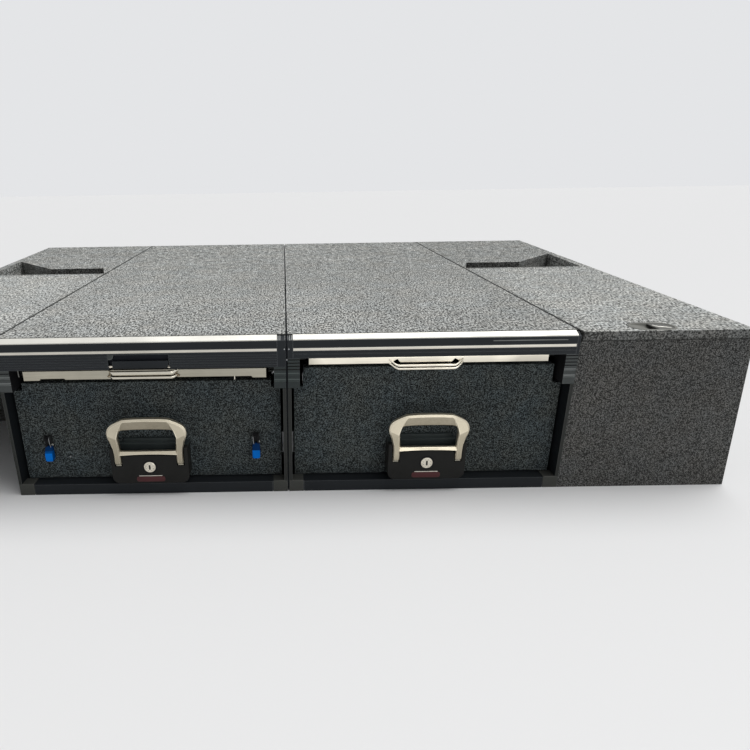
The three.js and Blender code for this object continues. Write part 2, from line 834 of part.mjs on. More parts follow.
// Table: stainless sheet with a turned-down front, outward flanges that run in the walls' channels,
// and a strap across the front as its pull
function table(m) {
  const top = m.tableTop;
  const low = top - m.tableTurnDown;
  const flangeInner = seamHalf + blockWidth + tableFlangeClear;
  const flangeOuter = moduleOuter - blockWidth - tableFlangeClear;
  const section = [
    [flangeInner, low],
    [tableInnerEdge + tableSheet, low],
    [tableInnerEdge + tableSheet, top - tableSheet],
    [tableOuterEdge - tableSheet, top - tableSheet],
    [tableOuterEdge - tableSheet, low],
    [flangeOuter, low],
    [flangeOuter, low + tableSheet],
    [tableOuterEdge, low + tableSheet],
    [tableOuterEdge, top],
    [tableInnerEdge, top],
    [tableInnerEdge, low + tableSheet],
    [flangeInner, low + tableSheet],
  ];
  const front = tableFrontPlane;
  const deck = alongY(sidewards(m.side, section), [front + tableTurnUnder, front + tableLength]);
  const wide = reach(m.side, tableInnerEdge, tableOuterEdge);
  const nose = block(wide, [front, front + tableTurnUnder + overlap], [top - tableSheet, top]);
  const lip = block(wide, [front, front + tableSheet], [low, top]);
  const sides = [
    [tableInnerEdge, tableInnerEdge + tableSheet],
    [tableOuterEdge - tableSheet, tableOuterEdge],
  ].map((ends) => block(reach(m.side, ...ends), [front, front + tableTurnUnder + overlap], [low, top]));
  const openEnds = [m.pullInner + pullStrap * 2, m.pullOuter - pullStrap * 2];
  const finger = block(
    reach(m.side, ...openEnds),
    [front - overrun, front + tableSheet + touch],
    [low - overrun, top - m.lipRoot],
  );
  const plan = (inset) => [
    [m.pullInner + inset, front + tableSheet],
    [m.pullInner + pullSlope + inset / 2, front - pullReach + inset],
    [m.pullOuter - pullSlope - inset / 2, front - pullReach + inset],
    [m.pullOuter - inset, front + tableSheet],
  ];
  const strapPoints = [...plan(0), ...plan(pullStrap).reverse()];
  const strap = upwards(sidewards(m.side, strapPoints), [m.pullLow, top - tableSheet * 2 - touch]);
  const tidy = cut(joined(deck, nose, lip, ...sides), finger);
  place(`table_${m.name}`, joined(tidy, strap), finish.stainless);
}

// Lock paddle in the left rail: turns outwards about its lower edge and frees the table behind it
function lockPaddle(m) {
  const low = m.railUnder + touch;
  const deep = [paddleSetback, paddleSetback + paddleThickness];
  const high = low + paddleHeight;
  const bar = block(reach(m.side, paddleInner, paddleOuter), deep, [low, high]);
  const pins = [
    [paddleInner - paddlePinReach, paddleInner + overlap],
    [paddleOuter - overlap, paddleOuter + paddlePinReach],
  ].map((ends) =>
    rodAlongX(
      paddlePinRadius,
      reach(m.side, ...ends),
      paddleSetback + paddleThickness / 2,
      m.railUnder + paddlePivotRise,
      thinRodSides,
    ),
  );
  const grooves = [];
  for (let z = low + groovePitch; z < high - grooveWidth; z += groovePitch) {
    const points = [[-grooveDepth, z], [paddleSetback + grooveDepth, z], [-grooveDepth, z + grooveWidth]];
    grooves.push(alongX(points, reach(m.side, paddleInner - overrun, paddleOuter + overrun)));
  }
  place('lock_paddle', cut(joined(bar, ...pins), ...grooves), finish.graphite);
}

// Spring catches of the left drawer front: a bracket and a lever with a blue grip
function springCatch(m, label) {
  const middle = m.side * catchPlaces[label];
  const back = frontPlane - touch;
  const plateFront = back - catchPlateThickness;
  const pinPlace = plateFront - catchPinReach;
  const about = (half) => [middle - half, middle + half];
  const plate = block(about(catchPlateHalf), [plateFront, back], [catchPlateLow, catchTop]);
  const ears = [-1, 1].map((way) =>
    block(
      [middle + way * (catchPlateHalf - catchEarThickness), middle + way * catchPlateHalf],
      [plateFront - catchEarReach, plateFront + overlap],
      [catchEarLow, catchTop],
    ),
  );
  const pinHole = rodAlongX(
    catchPinRadius + touch,
    about(catchPlateHalf + touch),
    pinPlace,
    catchPinRise,
    thinRodSides,
  );
  place(`catch_bracket_${label}`, cut(joined(plate, ...ears), pinHole), finish.plastic);

  const gripBack = plateFront - touch;
  const gripFront = gripBack - gripDepth;
  const gripOutline = [
    [gripBack, gripLow],
    [gripBack, gripHigh],
    [gripFront + gripDepth / 2, gripHigh],
    [gripFront, gripHigh - gripDepth / 2],
    [gripFront, gripLow + gripCorner],
    [gripFront + gripCorner, gripLow],
  ];
  const grip = alongX(gripOutline, about(gripHalf));
  const legs = [-1, 1].map((way) =>
    block(
      [middle + way * (gripHalf - gripLegWidth), middle + way * gripHalf],
      [pinPlace - gripLegDepth / 2, pinPlace + gripLegDepth / 2],
      [gripHigh - gripDepth / 2, catchPinRise + catchPinRadius],
    ),
  );
  const pin = rodAlongX(catchPinRadius, about(catchPlateHalf), pinPlace, catchPinRise, thinRodSides);
  place(`catch_grip_${label}`, joined(grip, ...legs, pin), finish.blue);
}

const wingEdge = (y) => wingFrontEdge + ((wingRearEdge - wingFrontEdge) * y) / unitDepth;
const lidRear = recessNear - lidHingeGap;

// Leaning piece of a wing: outset is how far it reaches past the outer panel's face, and its inner side
// stands at the straight inner edge, or parallel to the outer panel where a thickness is given
function wingSolid(side, [y0, y1], [z0, z1], { outset = 0, thickness = null }) {
  const ring = (z) => {
    const face = (y) => wingEdge(y) + wingLean * (1 - z / unitTop);
    const inner = (y) => (thickness === null ? wingSeat : face(y) - thickness);
    return [
      [side * inner(y0), y0, z],
      [side * (face(y0) + outset), y0, z],
      [side * (face(y1) + outset), y1, z],
      [side * inner(y1), y1, z],
    ];
  };
  return loft(ring(z0), ring(z1));
}

// Fixed panels of a wing. The left wing's front panel stands further in, under an open front bay
function wingPanels({ name, side }) {
  const high = [0, seatUnder];
  const isLeft = name === 'left';
  const sideStart = isLeft ? 0 : wingPanel + touch;
  const panel = wingSolid(side, [sideStart, wallEnd], high, { thickness: wingPanel });
  place(`wing_side_${name}`, panel, finish.carpet);
  place(`wing_rear_${name}`, wingSolid(side, [wallEnd + touch, unitDepth], high, {}), finish.carpet);
  const between = { outset: -wingPanel - touch };
  if (isLeft) {
    const deep = [bulkheadPlace, bulkheadPlace + wingPanel];
    place('wing_bulkhead_left', wingSolid(side, deep, high, between), finish.carpet);
    const railHeight = [seatUnder - leftRailHeight, seatUnder];
    place('wing_front_rail_left', wingSolid(side, [0, wingPanel], railHeight, between), finish.carpet);
  } else {
    place('wing_front_right', wingSolid(side, [0, wingPanel], high, {}), finish.carpet);
  }
}

const recessTurn = [recessCorner, recessFar];
const recessEnd = [wingEdge(recessOuter), recessOuter];

// Fixed rear board of a wing's top, cut back at an angle behind the recess
function wingRearBoard({ name, side }) {
  const points = [
    [wingInner, recessFar],
    recessTurn,
    recessEnd,
    [wingEdge(unitDepth), unitDepth],
    [wingInner, unitDepth],
  ];
  place(`wing_rear_board_${name}`, upwards(sidewards(side, points), [boardUnder, unitTop]), finish.carpet);
}

// Recess pan between lid and rear board: a pocket with a rim along the wing's outer edge and an inner
// wall that leans outwards on its way back
function wingScoop({ name, side }) {
  const near = recessNear + touch;
  const low = unitTop - recessDepth;
  const under = low - scoopPanel;
  const plan = (start, back) =>
    sidewards(side, [
      [wingSeat, start],
      [wingEdge(start), start],
      [wingEdge(recessOuter + back), recessOuter + back],
      [recessTurn[0], recessTurn[1] + back],
      [wingSeat, recessFar + back],
    ]);
  const body = joined(
    upwards(plan(near, scoopWall), [under, seatUnder]),
    upwards(plan(near, -touch), [seatUnder - overlap, unitTop]),
  );
  const start = near + scoopWall;
  const rimAt = (y) => wingEdge(y) - recessRim;
  const spread = (recessEnd[0] - recessTurn[0]) / (recessEnd[1] - recessTurn[1]);
  const rimSpread = (wingRearEdge - wingFrontEdge) / unitDepth;
  const outwards = (rimAt(recessFar) - recessTurn[0]) / (spread - rimSpread);
  const corner = [recessTurn[0] + outwards * spread, recessTurn[1] + outwards];
  const inside = [
    [wingInner + recessLip, start],
    [rimAt(start), start],
    corner,
    recessTurn,
    [wingInner + recessLip + recessLean, recessFar],
  ];
  const hollow = upwards(sidewards(side, inside), [low, unitTop + overrun]);
  const deep = [near - overrun, recessOuter + scoopWall + overrun];
  const boardRoom = block(
    reach(side, wingSeat - overrun, wingInner),
    deep,
    [seatUnder, unitTop + overrun],
  );
  const sideRoom = wingSolid(side, deep, [0, boardUnder], {
    outset: overrun,
    thickness: wingPanel + touch,
  });
  place(`wing_scoop_${name}`, cut(body, hollow, boardRoom, sideRoom), finish.carpet);
}

function obround(x0, x1, y0, y1) {
  const radius = (y1 - y0) / 2;
  const middle = (y0 + y1) / 2;
  return [
    ...arc([x1 - radius, middle], radius, -Math.PI / 2, Math.PI / 2, endSteps),
    ...arc([x0 + radius, middle], radius, Math.PI / 2, Math.PI + Math.PI / 2, endSteps),
  ];
}

const latchMiddle = wingInner + latchInset + latchHalf;
const latchEnds = [latchMiddle - latchHalf, latchMiddle + latchHalf];
const latchSides = [latchNear, latchNear + latchWidth];
const latchShape = (inset) =>
  obround(latchEnds[0] + inset, latchEnds[1] - inset, latchSides[0] + inset, latchSides[1] - inset);

// Pin of a flush latch, across it
function latchPin(side, radius, inset) {
  const place = side * (latchEnds[1] - latchFlange - latchPinInset);
  const ends = [latchSides[0] + inset, latchSides[1] - inset];
  return rodAlongY(radius, ends, place, unitTop - latchPinDepth, thinRodSides);
}

// Lifting lid of a wing, hinged at the recess
function wingLid({ name, side }) {
  const points = [
    [wingInner, 0],
    [wingEdge(0), 0],
    [wingEdge(lidRear), lidRear],
    [wingInner, lidRear],
  ];
  const board = upwards(sidewards(side, points), [boardUnder, unitTop]);
  const pocketHeight = [unitTop - latchDepth - touch, unitTop + overrun];
  const pocket = upwards(sidewards(side, latchShape(-touch)), pocketHeight);
  place(`wing_lid_${name}`, cut(board, pocket), finish.carpet);
}

// Cup of the flush latch, let into the lid
function latchCup({ name, side }) {
  const low = unitTop - latchDepth;
  const shell = upwards(sidewards(side, latchShape(0)), [low, unitTop + latchFlangeRise]);
  const hollow = upwards(sidewards(side, latchShape(latchFlange)), [low + latchWall, unitTop + overrun]);
  const pinHole = latchPin(side, latchPinRadius + touch, latchFlange / 2);
  place(`latch_cup_${name}`, cut(shell, hollow, pinHole), finish.grey);
}

// Paddle of the flush latch, over the outer half of the cup
function latchPaddle({ name, side }) {
  const inset = latchFlange + touch;
  const whole = upwards(sidewards(side, latchShape(inset)), [unitTop - latchPaddleThickness, unitTop]);
  const away = block(
    reach(side, latchEnds[0] - overrun, latchMiddle + latchPaddleStart),
    [latchSides[0] - overrun, latchSides[1] + overrun],
    [unitTop - latchDepth, unitTop + overrun],
  );
  const pin = latchPin(side, latchPinRadius, latchFlange / 2 + touch);
  place(`latch_paddle_${name}`, joined(cut(whole, away), pin), finish.bright);
}

for (const m of modules) {
  topBoard(m);
  baseTray(m);
  rearPanel(m);
  bottomRail(m);
  frontRail(m);
  noseTrim(m);
  for (const isOuter of [false, true]) {
    sideWall(m, isOuter);
    cornerBlock(m, isOuter);
    midSlide(m, isOuter);
  }
  drawerBox(m);
  drawerFront(m);
  handleBase(m);
  handleFrame(m);
  lockBarrel(m);
  latchTongue(m);
  table(m);
  wingPanels(m);
  wingRearBoard(m);
  wingScoop(m);
  wingLid(m);
  latchCup(m);
  latchPaddle(m);
}
lockPaddle(modules[0]);
for (const label of Object.keys(catchPlaces)) {
  springCatch(modules[0], label);
}

unit.position.y = -(unitDepth + handleFront) / 2;

export default unit;
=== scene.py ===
"""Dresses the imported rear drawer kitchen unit: camera, light, materials and detailed pieces.

Lengths are in metres in the row frame: +X to the right of the drawer fronts, +Y into the vehicle, +Z up.
mm() turns a place given in the source's millimetres, with Y counted from the front plane of the rails,
into that frame.
"""

import json
import math

import bmesh
import bpy
from mathutils import Matrix, Vector


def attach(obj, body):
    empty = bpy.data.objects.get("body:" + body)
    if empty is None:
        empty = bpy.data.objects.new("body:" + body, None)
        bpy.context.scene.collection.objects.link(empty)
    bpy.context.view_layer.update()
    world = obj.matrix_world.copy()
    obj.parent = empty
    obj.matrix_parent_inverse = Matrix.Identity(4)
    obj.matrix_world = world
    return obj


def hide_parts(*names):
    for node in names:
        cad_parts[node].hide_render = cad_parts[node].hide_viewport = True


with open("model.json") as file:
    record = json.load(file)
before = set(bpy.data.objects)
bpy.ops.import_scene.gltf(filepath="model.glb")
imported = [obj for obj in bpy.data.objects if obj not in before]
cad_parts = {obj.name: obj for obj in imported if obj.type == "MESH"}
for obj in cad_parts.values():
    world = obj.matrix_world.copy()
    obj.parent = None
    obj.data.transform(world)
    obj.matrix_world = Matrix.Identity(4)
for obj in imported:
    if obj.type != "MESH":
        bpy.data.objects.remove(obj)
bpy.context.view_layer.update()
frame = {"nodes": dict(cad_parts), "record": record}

FRONT_PLANE = -593.5  # Y of the rails' front plane in the row frame, in mm
SIDES = {"left": -1, "right": 1}


def mm(x, y, z):
    return Vector((x, y + FRONT_PLANE, z)) / 1000


def add(name, data):
    thing = bpy.data.objects.new(name, data)
    bpy.context.scene.collection.objects.link(thing)
    return thing


# Camera

CAMERA_PLACE = mm(-1.687, -860.517, 528.893)
CAMERA_PITCH = math.radians(19.95)
CAMERA_ROLL = -0.0156
CAMERA_LENS = 27.03
CAMERA_SHIFT = (0.1188, 0.0003)


def make_camera():
    forward = Vector((0, math.cos(CAMERA_PITCH), -math.sin(CAMERA_PITCH)))
    level = Vector((1, 0, 0))
    upright = Vector((0, math.sin(CAMERA_PITCH), math.cos(CAMERA_PITCH)))
    turn, lift = math.cos(CAMERA_ROLL), math.sin(CAMERA_ROLL)
    right = turn * level + lift * upright
    up = turn * upright - lift * level
    data = bpy.data.cameras.new("camera")
    data.sensor_width = 36
    data.lens = CAMERA_LENS
    data.shift_x, data.shift_y = CAMERA_SHIFT
    data.clip_start, data.clip_end = 0.02, 60
    camera = add("camera", data)
    axes = Matrix((right, up, -forward)).transposed()
    camera.matrix_world = Matrix.Translation(CAMERA_PLACE) @ axes.to_4x4()
    bpy.context.scene.camera = camera


make_camera()


# Node materials

class Look:
    """A node material around one Principled BSDF."""

    def __init__(self, name, **sockets):
        self.material = bpy.data.materials.new(name)
        self.material.use_nodes = True
        self.tree = self.material.node_tree
        self.shader = self.tree.nodes["Principled BSDF"]
        for socket, value in sockets.items():
            self.shader.inputs[socket.replace("_", " ")].default_value = value
        self.coordinates = self.tree.nodes.new("ShaderNodeTexCoord").outputs
        self.place = self.coordinates["Object"]

    def wire(self, value, socket):
        if isinstance(value, bpy.types.NodeSocket):
            self.tree.links.new(value, socket)
        else:
            socket.default_value = value

    def node(self, kind, inputs, **settings):
        made = self.tree.nodes.new(kind)
        for key, value in settings.items():
            setattr(made, key, value)
        for key, value in inputs.items():
            self.wire(value, made.inputs[key])
        return made

    def stretched(self, scale):
        return self.node("ShaderNodeMapping", {"Vector": self.place, "Scale": scale}).outputs[0]

    def part(self, kind, axis):
        return self.node("ShaderNodeSeparateXYZ", {"Vector": self.coordinates[kind]}).outputs[axis]

    def noise(self, scale, detail, rough, vector=None):
        inputs = {"Vector": vector or self.place, "Scale": scale, "Detail": detail, "Roughness": rough}
        return self.node("ShaderNodeTexNoise", inputs).outputs["Fac"]

    def spread(self, value, low, high, to_low=0.0, to_high=1.0):
        inputs = {"Value": value, "From Min": low, "From Max": high, "To Min": to_low, "To Max": to_high}
        return self.node("ShaderNodeMapRange", inputs).outputs[0]

    def mixed(self, factor, first, second, blend="MIX"):
        node = self.node("ShaderNodeMix", {}, data_type="RGBA", blend_type=blend)
        for place, value in ((0, factor), (6, first), (7, second)):
            self.wire(value, node.inputs[place])
        return node.outputs[2]

    def math(self, operation, first, second):
        return self.node("ShaderNodeMath", {0: first, 1: second}, operation=operation).outputs[0]

    def shade(self, colour, factor):
        rgb = self.node("ShaderNodeCombineColor", {0: factor, 1: factor, 2: factor}).outputs[0]
        return self.mixed(1.0, colour, rgb, "MULTIPLY")

    def edge_wear_and_highlight(self, width):
        """Rises along edges, from how far the rounded normal leans away from the flat one."""
        rounded = self.node("ShaderNodeBevel", {"Radius": width}, samples=6).outputs[0]
        flat = self.tree.nodes.new("ShaderNodeNewGeometry").outputs["Normal"]
        dot = self.node("ShaderNodeVectorMath", {0: rounded, 1: flat}, operation="DOT_PRODUCT")
        return self.spread(self.math("SUBTRACT", 1.0, dot.outputs["Value"]), 0.0, 0.10)

    def bump(self, height, strength, distance):
        inputs = {"Height": height, "Strength": strength, "Distance": distance}
        self.link(self.node("ShaderNodeBump", inputs).outputs[0], "Normal")

    def link(self, value, socket):
        self.tree.links.new(value, self.shader.inputs[socket])


def paint(value, tint=(1, 1, 1)):
    return (value * tint[0], value * tint[1], value * tint[2], 1)


looks = {}  # material by name


def carpet(name, dark, light, tint, sheen, size, lie=1.0, sparse=1.4, upright=None, drift=0.05):
    """Needle-punched carpet: pale tufts over dark gaps in three sizes, with a soft nap along Y.

    upright is given for the boards only: the dark and light tones of their standing faces, painted shade that
    keeps them darker than the tops. Painted shade also darkens the boards' seams and front edges, and on
    every carpet the line where the boards lie on the walls. drift is how far the colour wanders between warm
    and cool.
    """
    look = Look(name, Roughness=0.95, Sheen_Weight=sheen, Sheen_Roughness=0.4, Specular_IOR_Level=0.08)
    look.shader.inputs["Sheen Tint"].default_value = (0.95, 1.0, 0.95, 1)
    along = look.stretched((1, lie, 1))
    fine = look.noise(700 / size, 2, 0.6, along)
    tuft = look.noise(400 / size, 1, 0.5, along)
    clump = look.noise(150 / size, 2, 0.5, along)
    mixed = look.math("ADD", look.math("MULTIPLY", fine, 0.30), look.math("MULTIPLY", tuft, 0.60))
    mixed = look.math("ADD", mixed, look.math("MULTIPLY", clump, 0.10))
    speck = look.math("POWER", look.spread(mixed, 0.41, 0.60), sparse)
    colour = look.mixed(speck, paint(dark, tint), paint(light, tint))
    cloud = look.spread(look.noise(5, 3, 0.6), 0.35, 0.65, 0.92, 1.08)
    # The boards' standing faces take darker tones, painted shade.
    if upright:
        standing_shade = look.mixed(speck, paint(upright[0], tint), paint(upright[1], tint))
        facing = look.math("ABSOLUTE", look.part("Normal", "Y"), 0)
        colour = look.mixed(look.spread(facing, 0.25, 0.85), colour, standing_shade)
        # Painted shade in the boards' seams and along their front edges.
        colour = look.mixed(board_seam_shade(look), paint(dark * 0.6, tint), colour)
        # Painted light and shade on the boards, over the random clouds.
        cloud = look.math("MULTIPLY", cloud, board_light_tone(look, along))
    # Painted shade along the line where the boards lie on the walls.
    colour = look.mixed(look.math("MULTIPLY", board_line_shade(look), 0.6), colour, paint(dark * 0.5, tint))
    wander = look.spread(look.noise(14, 4, 0.65), 0.36, 0.64)
    hue = look.mixed(wander, (1 - drift, 1, 1 + drift, 1), (1 + drift, 1, 1 - drift, 1))
    look.link(look.mixed(1.0, look.shade(colour, cloud), hue, "MULTIPLY"), "Base Color")
    look.bump(mixed, 1.0, 0.005)
    looks[name] = look.material


BOARD_EDGE = 0.4709  # X of the seam between a top board and its wing
BOARD_FRONT = -0.5815  # Y of the top boards' front edge
BOARD_UNDER = 0.267
LID_BACK = 0.0205  # Y of the seam between a wing's lid and its rear board
LID_GAIN, REAR_GAIN = 0.26, -0.07  # painted light and shade: how much brighter than the top boards the wings' boards are
FAR_FROM, FAR_TO = -0.3, 0.4  # Y from which the back darkens (painted shade) and the nap looks patchy; where it does fully


def board_light_tone(look, along):
    """Painted light and shade on the boards: lighter on the wings' lids, darker on their rear boards, towards
    the back and towards the right; the nap looks patchy far from the front.
    """
    x, y = look.part("Object", "X"), look.part("Object", "Y")
    on_wing = look.spread(look.math("ABSOLUTE", x, 0), 0.44, 0.53)
    gain = look.spread(y, LID_BACK - 0.02, LID_BACK + 0.02, LID_GAIN, REAR_GAIN)
    tone = look.math("ADD", 1.0, look.math("MULTIPLY", on_wing, gain))
    tone = look.math("MULTIPLY", tone, look.spread(y, FAR_FROM, 0.6, 1.0, 0.95))
    tone = look.math("MULTIPLY", tone, look.spread(x, -0.5, 0.5, 1.04, 0.97))
    patch = look.spread(look.noise(95, 2, 0.5, along), 0.38, 0.62, 0.60, 1.40)
    far = look.spread(y, FAR_FROM, FAR_TO)
    return look.math("MULTIPLY", tone, look.node("ShaderNodeMix", {0: far, 2: 1.0, 3: patch}).outputs[0])


def frayed(look, distance, reach):
    """Makes a line that is drawn by this distance stray a little."""
    stray = look.math("SUBTRACT", look.noise(320, 2, 0.6), 0.5)
    return look.math("ADD", distance, look.math("MULTIPLY", stray, reach))


def board_line_shade(look):
    """Rises along the line where the top boards lie on the walls, which is drawn dark as painted shade."""
    away = look.math("ABSOLUTE", look.math("SUBTRACT", look.part("Object", "Z"), BOARD_UNDER), 0)
    return look.spread(frayed(look, away, 0.004), 0.0004, 0.0022, 1.0, 0.0)


def board_seam_shade(look):
    """Falls to nothing along the seams beside the top boards and along their front edges, where shade is
    painted.
    """
    across = look.math("ABSOLUTE", look.part("Object", "X"), 0)
    side = look.math("ABSOLUTE", look.math("SUBTRACT", across, BOARD_EDGE), 0)
    side = look.spread(frayed(look, side, 0.006), 0.0012, 0.0038)
    inwards = frayed(look, look.part("Object", "Y"), 0.006)
    near = look.spread(inwards, BOARD_FRONT + 0.001, BOARD_FRONT + 0.005)
    beyond = look.math("GREATER_THAN", across, BOARD_EDGE)
    return look.math("MULTIPLY", side, look.math("MAXIMUM", near, beyond))


HANDLE_PLACE = 0.2  # X of the handles, rounded


def metal(name, colour, rough, grain, scale, vary=0.12, relief=0.15, metallic=1.0, edge=None, shine=0.5,
          patches=0.0, inside=None, across=None):
    """Metal with a grain, clouds of handling marks and, if asked, brighter edges, painted highlights on the
    cast handles.

    patches darkens broad patches by that share, inside is painted shade: the darker colour of the faces that
    look sideways, and across is painted light: the brightness at the left and at the right handle.
    """
    look = Look(name, Metallic=metallic, Specular_IOR_Level=shine)
    streak = look.noise(scale, 3, 0.6, look.stretched(grain))
    cloud = look.noise(16, 3, 0.6)
    both = look.math("ADD", look.math("MULTIPLY", streak, 0.5), look.math("MULTIPLY", cloud, 0.5))
    tone = look.spread(both, 0.36, 0.64)
    painted = look.mixed(tone, paint(0.8, colour), paint(1.0, colour))
    if patches:
        painted = look.shade(painted, look.spread(look.noise(11, 1, 0.4), 0.42, 0.56, 1 - patches, 1.0))
    # Painted light: brighter or darker from the left handle to the right one.
    if across:
        x = look.part("Object", "X")
        painted = look.shade(painted, look.spread(x, -HANDLE_PLACE, HANDLE_PLACE, *across))
    # Painted shade on the faces that look sideways.
    if inside:
        sideways_shade = look.math("ABSOLUTE", look.part("Normal", "X"), 0)
        painted = look.mixed(look.spread(sideways_shade, 0.5, 0.9), painted, paint(1.0, inside))
    # Brighter edges; on the cast handles a painted highlight.
    if edge:
        painted = look.mixed(look.edge_wear_and_highlight(0.0016), painted, paint(1.0, edge))
    look.link(painted, "Base Color")
    look.link(look.spread(both, 0.36, 0.64, rough + vary / 2, rough - vary / 2), "Roughness")
    look.bump(streak, relief, 0.0004)
    looks[name] = look.material


def plastic(name, colour, rough, edge=None, shine=0.3):
    """Moulded plastic with a fine grain, faint clouds and, if asked, paler rubbed edges."""
    look = Look(name, Specular_IOR_Level=shine)
    grain = look.noise(1500, 2, 0.5)
    cloud = look.noise(40, 3, 0.6)
    painted = look.mixed(look.spread(cloud, 0.35, 0.65), paint(0.82, colour), paint(1.0, colour))
    if edge:
        painted = look.mixed(look.edge_wear_and_highlight(0.001), painted, paint(1.0, edge))
    look.link(painted, "Base Color")
    look.link(look.spread(grain, 0.35, 0.65, rough - 0.06, rough + 0.08), "Roughness")
    look.bump(grain, 0.25, 0.0003)
    looks[name] = look.material


ALONG_X, ALONG_Y, EVEN = (0.01, 1, 1), (1, 0.02, 1), (1, 1, 1)  # how a metal's grain is stretched
BRUSHED = (0.015, 1, 1)

# The boards' standing faces take the darker upright tones as painted shade.
carpet("carpet", 0.03, 0.74, (0.99, 1.0, 0.96), 0.25, 1.15, 0.42, 1.1, (0.028, 0.2), 0.02)
# Darker copies of the carpet for the drawer fronts and the wings' standing faces: painted shade.
carpet("carpet_front_shaded", 0.012, 0.154, (0.86, 1.0, 1.0), 0.03, 0.8)
carpet("carpet_side_shaded", 0.023, 0.19, (1, 1, 0.96), 0.06, 0.8, drift=0.02)
metal("graphite_alloy", (0.019, 0.022, 0.025), 0.45, (0.02, 1, 1), 900, metallic=0.3,
      edge=(0.07, 0.075, 0.08), shine=0.2)
# Its inside colour is painted shade on the faces that look sideways.
metal("wall_alloy", (0.03, 0.032, 0.03), 0.5, ALONG_Y, 900, metallic=0.2,
      edge=(0.07, 0.075, 0.07), shine=0.15, inside=(0.011, 0.013, 0.015))
metal("rail_line", (0.16, 0.165, 0.16), 0.35, ALONG_X, 700)
metal("guide_steel", (0.2, 0.2, 0.185), 0.5, EVEN, 700, metallic=0.5)
metal("foot_cap", (0.06, 0.062, 0.056), 0.5, EVEN, 700, metallic=0.2, edge=(0.12, 0.12, 0.11), shine=0.2)
# Its across paints light: the trim darker towards the right, where the key light's glare falls.
metal("bright_trim", (0.62, 0.608, 0.56), 0.55, ALONG_X, 700, relief=0.1, across=(1.08, 0.94))
metal("bead_trim", (0.66, 0.63, 0.56), 0.42, ALONG_X, 700)
metal("stainless", (0.44, 0.415, 0.34), 0.36, BRUSHED, 900)
# A brighter copy of stainless for the right table's lip and strap: painted light.
metal("stainless_bright", (1.0, 0.94, 0.8), 0.34, BRUSHED, 900, patches=0.36)
metal("strap_steel", (0.68, 0.64, 0.54), 0.24, BRUSHED, 900)
# The cast looks paint highlights along edges with their edge colour, and brighten the right handle by across:
# painted light.
metal("cast_alloy", (0.64, 0.58, 0.45), 0.42, EVEN, 900, relief=0.35, edge=(1.0, 0.93, 0.76),
      across=(0.95, 1.25))
# Shaded copies of cast_alloy for the handles' legs and grip panel: painted shade.
metal("cast_leg_shaded", (0.44, 0.395, 0.3), 0.46, EVEN, 900, relief=0.4, edge=(0.85, 0.78, 0.62),
      across=(0.95, 1.25))
metal("cast_panel_shaded", (0.38, 0.34, 0.26), 0.52, (0.3, 1, 1), 700, relief=0.7, across=(0.95, 1.2))
plastic("black_plastic", (0.013, 0.013, 0.012), 0.5, edge=(0.04, 0.04, 0.037), shine=0.14)
plastic("block_plastic", (0.058, 0.065, 0.064), 0.5, edge=(0.12, 0.13, 0.13), shine=0.2)
# Paler looks for the upward faces of the corner blocks' ribs: painted highlight.
plastic("block_rib_lit", (0.2, 0.215, 0.21), 0.45)
plastic("block_inner", (0.03, 0.038, 0.038), 0.5, edge=(0.06, 0.072, 0.07), shine=0.2)
# Painted highlight on the inner blocks' ribs.
plastic("block_inner_rib_lit", (0.085, 0.105, 0.1), 0.45)
plastic("grey_plastic", (0.215, 0.215, 0.195), 0.55, edge=(0.3, 0.3, 0.275), shine=0.15)
metal("latch_metal", (0.11, 0.11, 0.1), 0.5, EVEN, 700, metallic=0.5, shine=0.3)
metal("zinc_steel", (0.46, 0.47, 0.48), 0.42, EVEN, 60)
metal("nickel", (0.8, 0.75, 0.64), 0.3, EVEN, 900)
plastic("blue_plastic", (0.0, 0.165, 0.66), 0.5, shine=0.06)
# Darker blue for the grip's middle band and painted shade on its right-facing sides.
plastic("blue_middle_and_shade", (0.0, 0.075, 0.3), 0.5, shine=0.06)
plastic("blue_dark", (0.001, 0.03, 0.12), 0.5, shine=0.06)
plastic("bracket", (0.024, 0.026, 0.026), 0.6, shine=0.1)
metal("weld", (0.15, 0.11, 0.07), 0.6, EVEN, 900, vary=0.3, relief=1.0, edge=(0.5, 0.42, 0.3))
plastic("badge", (0.075, 0.018, 0.02), 0.4, shine=0.25)
plastic("slot_backing", (0.014, 0.016, 0.022), 0.6, shine=0.1)
# Dark look for the strip that stands for the shade in the seam.
plastic("seam_strip_dark", (0.045, 0.05, 0.06), 0.6, shine=0.1)
plastic("dark", (0.01, 0.01, 0.011), 0.6, shine=0.15)


# Shapes in the source's millimetres

def inset(points, step):
    """A closed outline moved inwards: points run anticlockwise."""
    out = []
    for i, (x, z) in enumerate(points):
        px, pz = points[i - 1]
        nx, nz = points[i + 1 - len(points)]
        a = Vector((x - px, z - pz)).normalized()
        b = Vector((nx - x, nz - z)).normalized()
        na, nb = Vector((-a.y, a.x)), Vector((-b.y, b.x))
        lean = na + nb
        lean = lean / max(lean.length_squared / 2, 0.35)
        out.append((x + lean.x * step, z + lean.y * step))
    return out


def arc(centre, radius, start, end, steps):
    turns = [math.radians(start + (end - start) * i / steps) for i in range(steps + 1)]
    return [(centre[0] + radius * math.cos(t), centre[1] + radius * math.sin(t)) for t in turns]


def rounded_box(x0, x1, z0, z1, radius, steps=5):
    return (arc((x0 + radius, z0 + radius), radius, 180, 270, steps)
            + arc((x1 - radius, z0 + radius), radius, 270, 360, steps)
            + arc((x1 - radius, z1 - radius), radius, 0, 90, steps)
            + arc((x0 + radius, z1 - radius), radius, 90, 180, steps))


